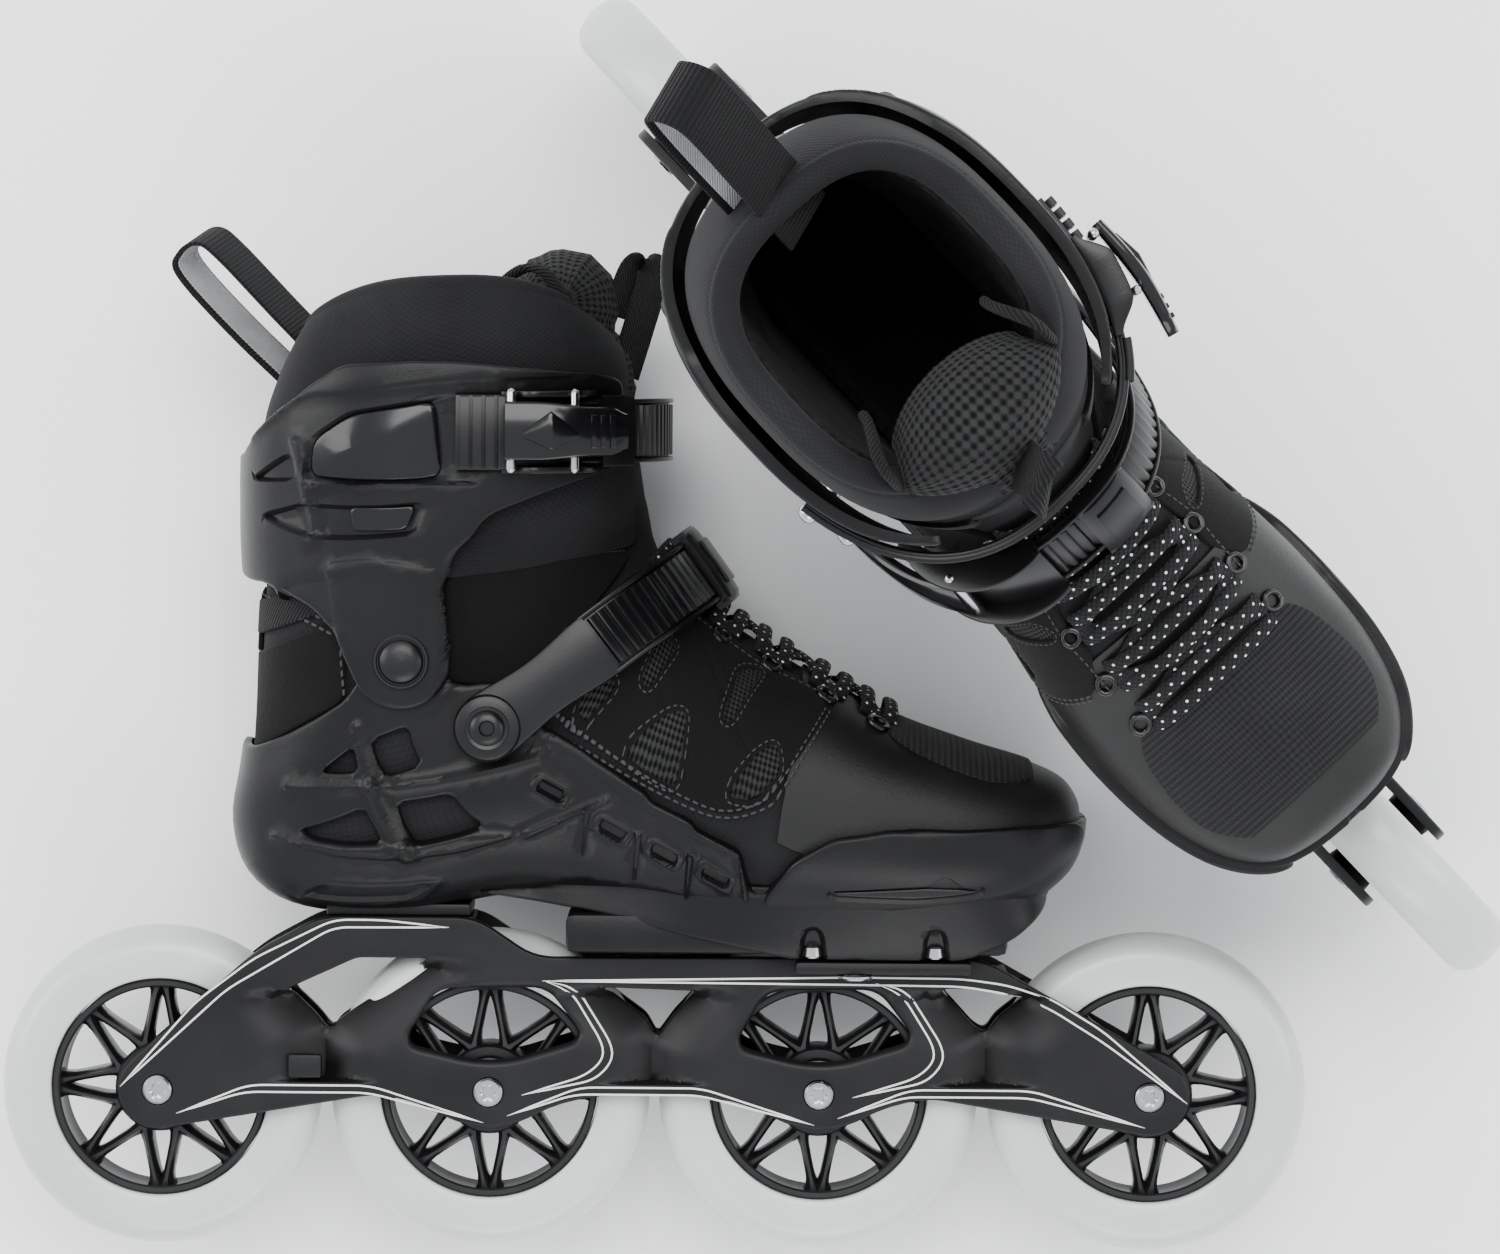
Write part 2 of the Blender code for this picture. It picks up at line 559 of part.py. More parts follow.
def make_pieces():
    """Every piece of one skate as name, object, material and the point its origin sits on."""
    hub_height = WHEEL_RADIUS
    pivot = (CUFF_PIVOT[0], 0, CUFF_PIVOT[1])
    anchor = (STRAP_ANCHOR[0], 0, STRAP_ANCHOR[1])
    hinge = tuple(instep_lever_path()[-1])
    pieces = [
        ("frame", make_frame(), "anodised_black", (0, 0, 0)),
        ("shell", make_shell(), "black_plastic", (0, 0, 0)),
        ("boot", make_boot(), "black_textile", (0, 0, 0)),
        ("laces", make_laces(), "lace_black", (0, 0, 0)),
        ("collar", make_collar(), "black_textile", pivot),
        ("cuff", make_cuff(), "black_plastic", pivot),
        ("cuff_pivot_outer", make_pivot(-1), "steel", pivot),
        ("cuff_pivot_inner", make_pivot(1), "steel", pivot),
        ("cuff_ladder", make_cuff_ladder(), "black_plastic", pivot),
        ("cuff_buckle", make_cuff_buckle(), "black_plastic", pivot),
        ("cuff_lever", make_cuff_lever(), "black_plastic", (*CUFF_HINGE, CUFF_BAND_Z)),
        ("instep_ladder", make_instep_ladder(), "black_plastic", anchor),
        ("instep_buckle", make_instep_buckle(), "black_plastic", anchor),
        ("instep_lever", make_instep_lever(), "steel", hinge),
    ]
    wheel_parts = (
        ("tyre", make_tyre(), "white_urethane"),
        ("hub", make_hub(), "hub_black"),
        ("bearing_set", make_bearing_set(), "steel"),
        ("axle", make_axle(), "steel"),
    )
    for name, master, finish in wheel_parts:
        for i, x in enumerate(WHEEL_XS):
            copy = add_object(name, master.data)
            copy.location = (x * MM, 0, hub_height * MM)
            pieces.append((f"{name}_{i + 1}", copy, finish, (x, 0, hub_height)))
        bpy.data.objects.remove(master)
    return pieces


def place_skate(name, place, turn, mirrored):
    """An empty that carries a skate, with its wheel-row middle at the given place."""
    holder = bpy.data.objects.new(name, None)
    bpy.context.scene.collection.objects.link(holder)
    turned_by = Euler([math.radians(angle) for angle in turn])
    holder.rotation_euler = turned_by
    holder.scale = (1, -1 if mirrored else 1, 1)
    row_middle = Vector((0, 0, WHEEL_RADIUS)) * MM
    holder.location = Vector(place) * MM - turned_by.to_matrix() @ row_middle
    return holder


def main():
    for thing in list(bpy.data.objects):
        bpy.data.objects.remove(thing)
    collection = bpy.data.collections.new("inline_skates")
    bpy.context.scene.collection.children.link(collection)
    holders = {
        "right": place_skate("right_skate", RIGHT_PLACE, RIGHT_TURN, False),
        "left": place_skate("left_skate", LEFT_PLACE, LEFT_TURN, True),
    }
    for name, piece, finish, origin in make_pieces():
        mesh = piece.data
        mesh.materials.clear()
        mesh.materials.append(material(finish))
        at = Vector(origin) * MM
        if piece.location.length == 0:
            mesh.transform(Matrix.Translation(-at))
        mesh.shade_smooth()
        mesh.set_sharp_from_angle(angle=math.radians(35))
        bpy.data.objects.remove(piece)
        for side, holder in holders.items():
            made = bpy.data.objects.new(f"{side}_{name}", mesh)
            made.parent = holder
            made.location = at
            collection.objects.link(made)


main()
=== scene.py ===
# %% [markdown]
# # A pair of inline skates
# The right skate lies on its inner side and the left one stands on its wheels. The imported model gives
# every real size and every axis. Each cell below puts the looks of one kind of piece around it: turned
# wheels, an aluminium frame, a plastic shell, a sewn boot, toothed straps and laces. The two skates are
# mirror images, so every piece is worked out once, in a skate's own frame, and placed twice.

# %% Load the fixed frame
import json
import math

import bmesh
import bpy
import numpy as np
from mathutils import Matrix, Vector
from mathutils.geometry import delaunay_2d_cdt


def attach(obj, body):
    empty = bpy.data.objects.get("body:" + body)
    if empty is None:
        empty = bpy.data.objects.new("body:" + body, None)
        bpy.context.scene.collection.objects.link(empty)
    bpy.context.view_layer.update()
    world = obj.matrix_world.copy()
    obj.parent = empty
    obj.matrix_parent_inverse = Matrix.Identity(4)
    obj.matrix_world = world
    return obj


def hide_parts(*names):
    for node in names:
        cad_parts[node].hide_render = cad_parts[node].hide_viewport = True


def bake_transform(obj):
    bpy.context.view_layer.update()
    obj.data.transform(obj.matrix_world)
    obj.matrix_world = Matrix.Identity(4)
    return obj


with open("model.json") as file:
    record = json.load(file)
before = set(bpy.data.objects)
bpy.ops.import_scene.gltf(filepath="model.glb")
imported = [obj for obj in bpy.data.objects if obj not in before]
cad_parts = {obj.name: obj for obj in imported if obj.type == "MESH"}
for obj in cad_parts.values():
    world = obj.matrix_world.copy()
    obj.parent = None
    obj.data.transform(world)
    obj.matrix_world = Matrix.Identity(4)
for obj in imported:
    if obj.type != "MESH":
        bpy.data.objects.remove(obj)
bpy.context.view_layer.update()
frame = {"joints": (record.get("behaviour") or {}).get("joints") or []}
MM = 0.001

# %% [markdown]
# ## The skate's own frame
# On a bench a skate is measured from the ground under the middle of its wheel row: X towards the toe, Y
# towards the inner side of the foot, Z up. The axles give that frame wherever the skate lies, because
# the wheel joints say where each axle is and which way it points. The left skate's frame is left-handed,
# which makes it the mirror image.

# %% Where each skate lies
WHEEL_RADIUS = 55.0
WHEEL_PITCH = 113.0
JOINTS = {joint["name"]: joint for joint in frame["joints"]}


class Skate:
    """One skate's name and the frame that its axles give: rows of axes are unit vectors in the model's
    frame."""

    def __init__(self, name):
        self.name = name
        first, last = (np.array(JOINTS[f"{name}_wheel_{i}_spin"]["pos_m"]) for i in (1, 4))
        along = (last - first) / np.linalg.norm(last - first)
        inward = np.array(JOINTS[f"{name}_wheel_1_spin"]["axis"])
        upward = np.cross(along, inward) * (1 if name == "right" else -1)
        self.axes = np.array([along, inward, upward])
        self.origin = (first + last) / 2 - upward * WHEEL_RADIUS * MM

    def place(self, points):
        """Points in the skate's millimetres as points in the model's metres."""
        return np.asarray(points, float) @ self.axes * MM + self.origin


SKATES = [Skate("right"), Skate("left")]
SIDES = ((-1, "outer"), (1, "inner"))
for skate in SKATES:
    print(skate.name, "stands at", np.round(skate.origin, 3), "and its up is", np.round(skate.axes[2], 3))

# %% [markdown]
# ## From arrays to a piece
# Each piece is a set of points and faces worked out with numpy. The helper below puts them into a mesh
# for each skate, turns the faces round on the mirrored one, adds UVs in metres along the surface where a
# cloth needs them, and says which body the piece rides on.

# %% The helper that makes a piece
made_pieces = {}


def add_piece(name, points, faces, material, body="skate", slot=None, uv=None, replaces=(),
              angle=40, blend=None):
    """Puts points (n, 3) and faces (m, 3 or 4), or lists of both kinds, into one piece on each skate.

    uv holds one pair for each face corner. blend is (body, body, start, end) in the skate's frame, but its
    values
    are not used: a piece given it stays in the model's frame and rides on no body."""
    faces = [np.asarray(part, int) for part in (faces if isinstance(faces, list) else [faces])]
    pieces = []
    for skate in SKATES:
        flip = slice(None, None, -1) if skate.name == "left" else slice(None)
        polygons = [tuple(int(i) for i in face[flip]) for part in faces for face in part]
        mesh = bpy.data.meshes.new(f"{skate.name}_{name}")
        mesh.from_pydata(skate.place(points).tolist(), [], polygons)
        if uv is not None:
            corners = [np.asarray(part)[:, flip] for part in (uv if isinstance(uv, list) else [uv])]
            layer = mesh.uv_layers.new(name="surface")
            layer.data.foreach_set("uv", np.concatenate([c.reshape(-1) for c in corners]).astype(np.float32))
        mesh.materials.append(material)
        mesh.shade_smooth()
        if angle < 180:
            mesh.set_sharp_from_angle(angle=math.radians(angle))
        piece = bpy.data.objects.new(mesh.name, mesh)
        bpy.context.scene.collection.objects.link(piece)
        if blend:
            first, second, start, end = blend
            skate.place(start)
            skate.place(end)
            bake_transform(piece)
        else:
            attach(piece, f"{skate.name}_{body}")
        if replaces:
            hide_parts(*[f"{skate.name}_{node}" for node in replaces])
        pieces.append(piece)
    made_pieces[name] = len(points)
    return pieces


def grid_faces(rows, columns, wrap_rows=False, wrap_columns=False):
    """The quads of a grid of points, numbered row by row; a wrapped direction joins its end to its
    start."""
    i = np.arange(rows if wrap_rows else rows - 1)
    j = np.arange(columns if wrap_columns else columns - 1)
    i, j = np.meshgrid(i, j, indexing="ij")
    below, above = i * columns, (i + 1) % rows * columns
    right = (j + 1) % columns
    return np.stack([below + j, below + right, above + right, above + j], axis=-1).reshape(-1, 4)


def grid_uv(u, v):
    """UVs for the faces of grid_faces: u and v are the values at the rows and the columns, plus one
    where wrapped."""
    i, j = np.meshgrid(np.arange(len(u) - 1), np.arange(len(v) - 1), indexing="ij")
    corners = [(i, j), (i, j + 1), (i + 1, j + 1), (i + 1, j)]
    return np.stack([np.stack([u[a], v[b]], axis=-1) for a, b in corners], axis=-2).reshape(-1, 4, 2) * MM


# %% [markdown]
# ## Floor, camera and light
# A pair laid flat is looked at from straight above, so the camera stands over the wheel row of the lying
# skate and looks down. Its height is about 1.8 metres, which keeps the perspective gentle. The light is
# one wide soft box overhead and three smaller ones at the sides, because black parts only show their
# shape by what they reflect.

# %% Floor, camera and lights
CAMERA_HEIGHT = 1.8
CAMERA_X, CAMERA_Y = -0.0003, -0.0002
SENSOR = 36.0
LENS = 125.2
row_middle = SKATES[0].place([0, 0, WHEEL_RADIUS])
camera_data = bpy.data.cameras.new("camera")
camera_data.sensor_width = SENSOR
camera_data.lens = LENS
camera = bpy.data.objects.new("camera", camera_data)
camera.location = (CAMERA_X, CAMERA_Y, row_middle[2] + CAMERA_HEIGHT)
bpy.context.scene.collection.objects.link(camera)
bpy.context.scene.camera = camera


def set_inputs(node, values):
    """Sets a node's inputs by their names."""
    for name, value in values.items():
        node.inputs[name].default_value = value


def plain_material(name, colour, roughness):
    """A Principled material with one colour, to be refined by the caller."""
    material = bpy.data.materials.new(name)
    material.use_nodes = True
    shader = material.node_tree.nodes["Principled BSDF"]
    set_inputs(shader, {"Base Color": (*colour, 1), "Roughness": roughness})
    return material, shader


def add_floor(half=6.0):
    """A square of pale floor under the skates."""
    mesh = bpy.data.meshes.new("floor")
    corners = [(-half, -half, 0), (half, -half, 0), (half, half, 0), (-half, half, 0)]
    mesh.from_pydata(corners, [], [(0, 1, 2, 3)])
    mesh.materials.append(plain_material("floor_paint", (0.96, 0.96, 0.96), 0.9)[0])
    floor = bpy.data.objects.new("floor", mesh)
    bpy.context.scene.collection.objects.link(floor)


def add_soft_box(name, place, width, height, power):
    """An area light at a place, turned to face the skates."""
    data = bpy.data.lights.new(name, "AREA")
    data.shape = "RECTANGLE"
    data.size, data.size_y = width, height
    data.energy = power
    light = bpy.data.objects.new(name, data)
    light.location = place
    light.rotation_euler = (-Vector(place)).to_track_quat("-Z", "Y").to_euler()
    bpy.context.scene.collection.objects.link(light)


add_floor()
add_soft_box("overhead_box", (0.0, 0.9, 2.3), 1.6, 1.0, 44)
add_soft_box("left_box", (-1.8, 0.5, 1.1), 1.0, 1.4, 30)
add_soft_box("right_box", (1.9, 0.2, 1.2), 1.0, 1.4, 22)
add_soft_box("near_box", (0.2, -1.8, 1.5), 1.4, 0.8, 20)
world = bpy.data.worlds.new("studio")
world.use_nodes = True
set_inputs(world.node_tree.nodes["Background"], {"Color": (0.9, 0.92, 0.95, 1), "Strength": 1.6})
bpy.context.scene.world = world
print("camera at", [round(v, 3) for v in camera.location])

# %% [markdown]
# ## Finishes
# Nearly everything here is black, so the pieces differ by how they shine and by what is pressed or woven
# into them. Each finish is a Principled shader with the same few additions: a drift in colour, a drift
# in roughness and a bump for its grain. Moulded and machined parts read Object coordinates, and cloth
# reads its own UVs in metres, so that a weave follows the piece.


# %% A finish from colour, drift and grain
DRIFT_SCALE = 28


def finish(name, colour, roughness, metallic=0.0, drift=0.25, grain=(), uneven=0.12, coat=0.0,
           sheen=0.0, shine=0.25):
    """Colour times 1 plus or minus drift, roughness plus or minus uneven, and a bump that adds up the
    grain.

    Each grain is (size in mm, height in mm): a noise whose bumps are that size. shine is the specular
    level."""
    material, shader = plain_material(name, colour, roughness)
    nodes, links = material.node_tree.nodes, material.node_tree.links
    set_inputs(shader, {"Metallic": metallic, "Specular IOR Level": shine, "Coat Weight": coat,
                        "Coat Roughness": 0.12, "Sheen Weight": sheen, "Sheen Roughness": 0.5})
    place = nodes.new("ShaderNodeTexCoord")
    wide = nodes.new("ShaderNodeTexNoise")
    set_inputs(wide, {"Scale": DRIFT_SCALE, "Detail": 5})
    links.new(place.outputs["Object"], wide.inputs["Vector"])
    ramp = nodes.new("ShaderNodeValToRGB")
    ramp.color_ramp.elements[0].position = 0.3
    ramp.color_ramp.elements[1].position = 0.7
    ramp.color_ramp.elements[0].color = (*(c * (1 - drift) for c in colour), 1)
    ramp.color_ramp.elements[1].color = (*(c * (1 + drift) for c in colour), 1)
    links.new(wide.outputs["Fac"], ramp.inputs["Fac"])
    links.new(ramp.outputs["Color"], shader.inputs["Base Color"])
    spread = nodes.new("ShaderNodeMapRange")
    set_inputs(spread, {"To Min": max(roughness - uneven, 0.02), "To Max": min(roughness + uneven, 1)})
    links.new(wide.outputs["Fac"], spread.inputs["Value"])
    links.new(spread.outputs["Result"], shader.inputs["Roughness"])
    normal = None
    for size, height in grain:
        noise = nodes.new("ShaderNodeTexNoise")
        set_inputs(noise, {"Scale": 1 / (size * MM), "Detail": 3})
        links.new(place.outputs["Object"], noise.inputs["Vector"])
        bump = nodes.new("ShaderNodeBump")
        bump.inputs["Distance"].default_value = height * MM
        links.new(noise.outputs["Fac"], bump.inputs["Height"])
        if normal:
            links.new(normal, bump.inputs["Normal"])
        normal = bump.outputs["Normal"]
    if normal:
        links.new(normal, shader.inputs["Normal"])
    return material


shell_plastic = finish("satin_shell_plastic", (0.004, 0.004, 0.0044), 0.38,
                       grain=[(0.9, 0.05), (3, 0.04)], shine=0.2)
gloss_plastic = finish("gloss_plastic", (0.004, 0.004, 0.0045), 0.16, uneven=0.05,
                       grain=[(6, 0.02)], coat=0.15)
strap_plastic = finish("strap_plastic", (0.004, 0.004, 0.0044), 0.32, grain=[(1.2, 0.03)], shine=0.28)
hub_plastic = finish("hub_plastic", (0.006, 0.006, 0.0065), 0.36, grain=[(1.0, 0.03)], shine=0.35)
anodised = finish("black_anodised_aluminium", (0.008, 0.008, 0.0085), 0.42, 0.3,
                  grain=[(0.35, 0.035), (1.1, 0.02)])
steel = finish("polished_steel", (0.42, 0.42, 0.43), 0.24, 1.0, drift=0.1, uneven=0.08, grain=[(2, 0.01)])
bearing_steel = finish("ground_steel", (0.34, 0.34, 0.35), 0.34, 1.0, drift=0.1, grain=[(0.6, 0.01)])
white_print = finish("white_pinstripe", (0.62, 0.62, 0.62), 0.5, drift=0.05, grain=[(0.5, 0.01)])
print("hard finishes:", [m.name for m in bpy.data.materials if m.name != "floor_paint"])

# %% [markdown]
# ## The wheels
# A wheel is cast urethane round a moulded hub. The tyre is a profile turned about the axle. Cast
# urethane lets a little light in, so it has some subsurface scattering and a faint cloudiness.


# %% Turned pieces
def catmull_rom(rows, t):
    """The Catmull-Rom curve through rows of numbers, at parameters t: it meets row k at t = k."""
    i = np.minimum(t.astype(int), len(rows) - 2)
    u = (t - i)[..., None]
    a, b, c, d = (rows[np.clip(i + k, 0, len(rows) - 1)] for k in (-1, 0, 1, 2))
    return b + 0.5 * u * (c - a + u * (2 * a - 5 * b + 4 * c - d + u * (3 * (b - c) + d - a)))


def smooth_line(points, steps):
    """A curve through every point, with a number of steps in each span."""
    points = np.asarray(points, float)
    return catmull_rom(points, np.linspace(0, len(points) - 1, (len(points) - 1) * steps + 1))


def turned(profile, sides, centre=(0, 0, 0), closed=True):
    """A profile of (radius, y) turned about an axis along Y: x = r cos a, z = r sin a, at sides values
    of a."""
    profile = np.asarray(profile, float)
    angle = np.linspace(0, 2 * math.pi, sides, endpoint=False)[None, :]
    radius, y = profile[:, :1], np.repeat(profile[:, 1:], sides, axis=1)
    points = np.stack([radius * np.cos(angle), y, radius * np.sin(angle)], axis=-1)
    faces = grid_faces(len(profile), sides, wrap_rows=closed, wrap_columns=True)
    return points.reshape(-1, 3) + centre, faces


def joined(parts):
    """Several (points, faces) as one, the faces of each moved up by the points before it."""
    points, faces, count = [], [], 0
    for some, of_them in parts:
        points.append(some)
        of_them = of_them if isinstance(of_them, list) else [of_them]
        faces += [part + count for part in of_them]
        count += len(some)
    return np.concatenate(points), faces


def capped(profile):
    """A turned profile that starts and ends on the axis, with a pinhole too small to see at each end."""
    pinhole = 0.02
    return [(pinhole, profile[0][1])] + list(profile[1:-1]) + [(pinhole, profile[-1][1])]


# %% Tyres
TYRE_SIDE = [(37.3, 9.6), (37.6, 10.4), (39.0, 11.0), (42.5, 11.6), (46.0, 11.8), (49.4, 11.0),
             (52.2, 8.8), (54.2, 5.2), (WHEEL_RADIUS, 0.0)]
half_tyre = smooth_line(TYRE_SIDE, 4)
tyre_profile = np.concatenate([half_tyre, half_tyre[-2::-1] * (1, -1)])[::-1]
WHEEL_XS = [(i - 1.5) * WHEEL_PITCH for i in range(4)]


def cast_urethane():
    """Milky urethane: white with a cool tint, some light going in, and a soft polish."""
    material, shader = plain_material("cast_urethane", (0.50, 0.51, 0.505), 0.33)
    nodes, links = material.node_tree.nodes, material.node_tree.links
    set_inputs(shader, {"Subsurface Weight": 0.25, "Subsurface Radius": (1.0, 1.0, 1.0),
                        "Subsurface Scale": 0.006, "Coat Weight": 0.25, "Coat Roughness": 0.2})
    place = nodes.new("ShaderNodeTexCoord")
    cloud = nodes.new("ShaderNodeTexNoise")
    cloud.inputs["Scale"].default_value = 35
    ramp = nodes.new("ShaderNodeValToRGB")
    ramp.color_ramp.elements[0].color = (0.46, 0.47, 0.465, 1)
    ramp.color_ramp.elements[1].color = (0.54, 0.55, 0.545, 1)
    links.new(place.outputs["Object"], cloud.inputs["Vector"])
    links.new(cloud.outputs["Fac"], ramp.inputs["Fac"])
    links.new(ramp.outputs["Color"], shader.inputs["Base Color"])
    return material


urethane = cast_urethane()
for i, x in enumerate(WHEEL_XS, 1):
    points, faces = turned(tyre_profile, 112, (x, 0, WHEEL_RADIUS))
    add_piece(f"wheel_{i}_tyre", points, faces, urethane, f"wheel_{i}_body", "urethane",
              replaces=[f"tyre_{i}"])
print("tyre", len(points), "points each")

# %% [markdown]
# ## The hubs
# The hub is glass-filled nylon: a rim, a core that grips the bearings, and sixteen thin spokes that run
# in a zigzag, so that each pair makes a V whose point sits at the rim. A spoke is a bar with a crest
# along its front and back, which is what catches the light, and it widens where it meets rim and core.

# %% Hubs with zigzag spokes
RIM, RIM_INSIDE, CORE, HUB_BORE = 36.9, 34.3, 15.4, 11.3
V_COUNT = 8
RIM_PROFILE = [(RIM, 9.4), (RIM - 0.5, 9.9), (RIM_INSIDE + 0.6, 9.9), (RIM_INSIDE, 9.3),
               (RIM_INSIDE + 0.9, 5.0)]
CORE_PROFILE = [(CORE, 8.6), (CORE - 0.9, 9.8), (HUB_BORE + 0.6, 9.8), (HUB_BORE, 9.2)]
BAR_SECTION = np.array([(0.45, 7.8), (0.75, 6.6), (1.5, 5.4), (1.5, -5.4), (0.75, -6.6), (0.45, -7.8)])


def both_halves(half):
    """A closed ring profile from its half in y > 0."""
    return (list(half) + [(radius, -width) for radius, width in reversed(half)])[::-1]


def spoke(start, end):
    """A bar from the core to the rim: BAR_SECTION carried along the line, wider by half at both ends."""
    section = np.concatenate([BAR_SECTION, -BAR_SECTION])
    share = np.linspace(0, 1, 9)[:, None, None]
    start, end = np.array(start, float), np.array(end, float)
    run = (end - start) / np.linalg.norm(end - start)
    across = np.array([run[2], 0, -run[0]])
    widen = 1 + 1.5 * np.abs(2 * share - 1) ** 5
    tall = 1.12 - 0.24 * share
    points = start + (end - start) * share + across * section[None, :, :1] * widen
    points = points + np.array([0, 1, 0]) * section[None, :, 1:] * tall
    rows, columns = len(share), len(section)
    caps = [np.arange(columns)[::-1][None, :], (np.arange(columns) + (rows - 1) * columns)[None, :]]
    return points.reshape(-1, 3), [grid_faces(rows, columns, wrap_columns=True)] + caps


def hub():
    parts = [turned(both_halves(RIM_PROFILE), 96), turned(both_halves(CORE_PROFILE), 48)]
    step = 2 * math.pi / V_COUNT
    for k in range(V_COUNT):
        for side in (-0.5, 0.5):
            inner, outer = step * (k + side), step * k + side * 0.08
            start = (math.cos(inner) * (CORE - 0.6), 0, math.sin(inner) * (CORE - 0.6))
            end = (math.cos(outer) * (RIM_INSIDE + 0.7), 0, math.sin(outer) * (RIM_INSIDE + 0.7))
            parts.append(spoke(start, end))
    return joined(parts)


def bearing_set():
    """Outer race, dished shield, inner race on both faces, and the spacer tube between the two
    bearings."""
    half = [(11.0, 9.0), (10.7, 9.9), (9.6, 9.9), (9.4, 9.5), (6.5, 9.3), (6.3, 9.9), (4.5, 9.9), (4.3, 9.6)]
    return turned(both_halves(half), 40)


hub_points, hub_mesh_faces = hub()
race_points, race_faces = bearing_set()
for i, x in enumerate(WHEEL_XS, 1):
    at = np.array([x, 0, WHEEL_RADIUS])
    body = f"wheel_{i}_body"
    add_piece(f"wheel_{i}_hub", hub_points + at, hub_mesh_faces, hub_plastic, body, "hub_plastic",
              replaces=[f"hub_{i}"])
    add_piece(f"wheel_{i}_bearings", race_points + at, race_faces, bearing_steel, body, "bearing_steel",
              replaces=[f"bearing_set_{i}"])
print("hub", len(hub_points), "points each")

# %% [markdown]
# ## The axles
# Each axle bolt shows a round steel head with a six-lobed socket. The head is a turned shape whose inner
# rings follow r = a + b cos 6t, so the socket has six lobes without any cutting.

# %% Axle bolts
HEAD_RADIUS, HEAD_FACE, SHAFT = 4.9, 19.4, 4.0
AXLE_SIDES, LOBES = 72, 6


def axle():
    """Rings (radius, lobe, y) from the socket's floor, up its wall, over the head and down the shaft,
    both ways."""
    rings = [(0.02, 0, HEAD_FACE - 2), (2.1, 0.36, HEAD_FACE - 2), (2.4, 0.4, HEAD_FACE - 0.1)]
    rings += [(2.7, 0.3, HEAD_FACE), (4.2, 0, HEAD_FACE), (HEAD_RADIUS, 0, HEAD_FACE - 0.7)]
    rings += [(HEAD_RADIUS, 0, 11), (SHAFT, 0, 10.9)]
    rings = np.array(rings + [(radius, lobe, -y) for radius, lobe, y in reversed(rings)])
    angle = np.linspace(0, 2 * math.pi, AXLE_SIDES, endpoint=False)[None, :]
    radius = rings[:, :1] + rings[:, 1:2] * np.cos(LOBES * angle)
    y = np.repeat(rings[:, 2:], AXLE_SIDES, axis=1)
    points = np.stack([radius * np.cos(angle), y, radius * np.sin(angle)], axis=-1)
    return points.reshape(-1, 3), grid_faces(len(rings), AXLE_SIDES, wrap_columns=True)[:, ::-1]


axle_points, axle_faces = axle()
for i, x in enumerate(WHEEL_XS, 1):
    add_piece(f"axle_bolt_{i}", axle_points + (x, 0, WHEEL_RADIUS), axle_faces, steel, "skate",
              "polished_steel", replaces=[f"axle_{i}"])
print("axle bolt", len(axle_points), "points each")

# %% [markdown]
# ## Plates with cut-outs and relief
# The frame walls, the shell, the cuff and the sewn panels are all plates: an outline with windows in it,
# a thickness, rounded edges and relief pressed into the face. Each is meshed in a flat plane first,
# where outlines are easy to draw. Points are strewn evenly over the plate and close along its edges, a
# Delaunay triangulation joins them, and only then is the flat net laid onto the frame's side or the
# boot's skin.


# %% Outlines and distances in the flat plane
def round_corners(points, radius, closed=True):
    """Each corner replaced by a quadratic Bezier whose ends lie up to radius back along its two
    sides."""
    points = np.asarray(points, float)
    before, after = np.roll(points, 1, axis=0) - points, np.roll(points, -1, axis=0) - points
    reach = [np.minimum(radius / np.linalg.norm(v, axis=1, keepdims=True), 0.48) for v in (before, after)]
    first, last = points + before * reach[0], points + after * reach[1]
    u = np.linspace(0, 1, 6)[None, :, None]
    arcs = (1 - u) ** 2 * first[:, None] + 2 * u * (1 - u) * points[:, None] + u**2 * last[:, None]
    if closed:
        return arcs.reshape(-1, points.shape[1])
    return np.concatenate([points[:1], arcs[1:-1].reshape(-1, points.shape[1]), points[-1:]])


def lengths_along(points):
    """The length of a line up to each of its points."""
    return np.concatenate([[0], np.cumsum(np.linalg.norm(np.diff(points, axis=0), axis=1))])


def read_off(points, at):
    """The points of a line at some lengths along it."""
    lengths = lengths_along(points)
    return np.stack([np.interp(at, lengths, column) for column in points.T], axis=-1)


def evenly(points, step, closed=False):
    """The same line with points about step apart."""
    points = np.asarray(points, float)
    if closed:
        points = np.concatenate([points, points[:1]])
    length = lengths_along(points)[-1]
    made = read_off(points, np.linspace(0, length, max(int(round(length / step)), 3) + 1))
    return made[:-1] if closed else made


def in_batches(points, work, size=4000):
    """The same work on a few thousand points at a time, which keeps the arrays small."""
    if not len(points):
        return np.zeros(0)
    return np.concatenate([work(points[i:i + size]) for i in range(0, len(points), size)])


def inside(points, outline):
    """Whether each point lies inside a closed outline: a ray to +x crosses it an odd number of times."""
    a, b = outline[None], np.roll(outline, -1, axis=0)[None]
    rise = np.where(b[..., 1] == a[..., 1], 1e-12, b[..., 1] - a[..., 1])

    def odd(batch):
        x, y = batch[:, 0, None], batch[:, 1, None]
        spans = (a[..., 1] > y) != (b[..., 1] > y)
        crossing = a[..., 0] + (y - a[..., 1]) * (b[..., 0] - a[..., 0]) / rise
        return (spans & (x < crossing)).sum(axis=1) % 2 == 1

    found = np.zeros(len(points), bool)
    boxed = np.all((points > outline.min(axis=0)) & (points < outline.max(axis=0)), axis=1)
    if boxed.any():
        found[boxed] = in_batches(points[boxed], odd)
    return found


POST_STEP = 10


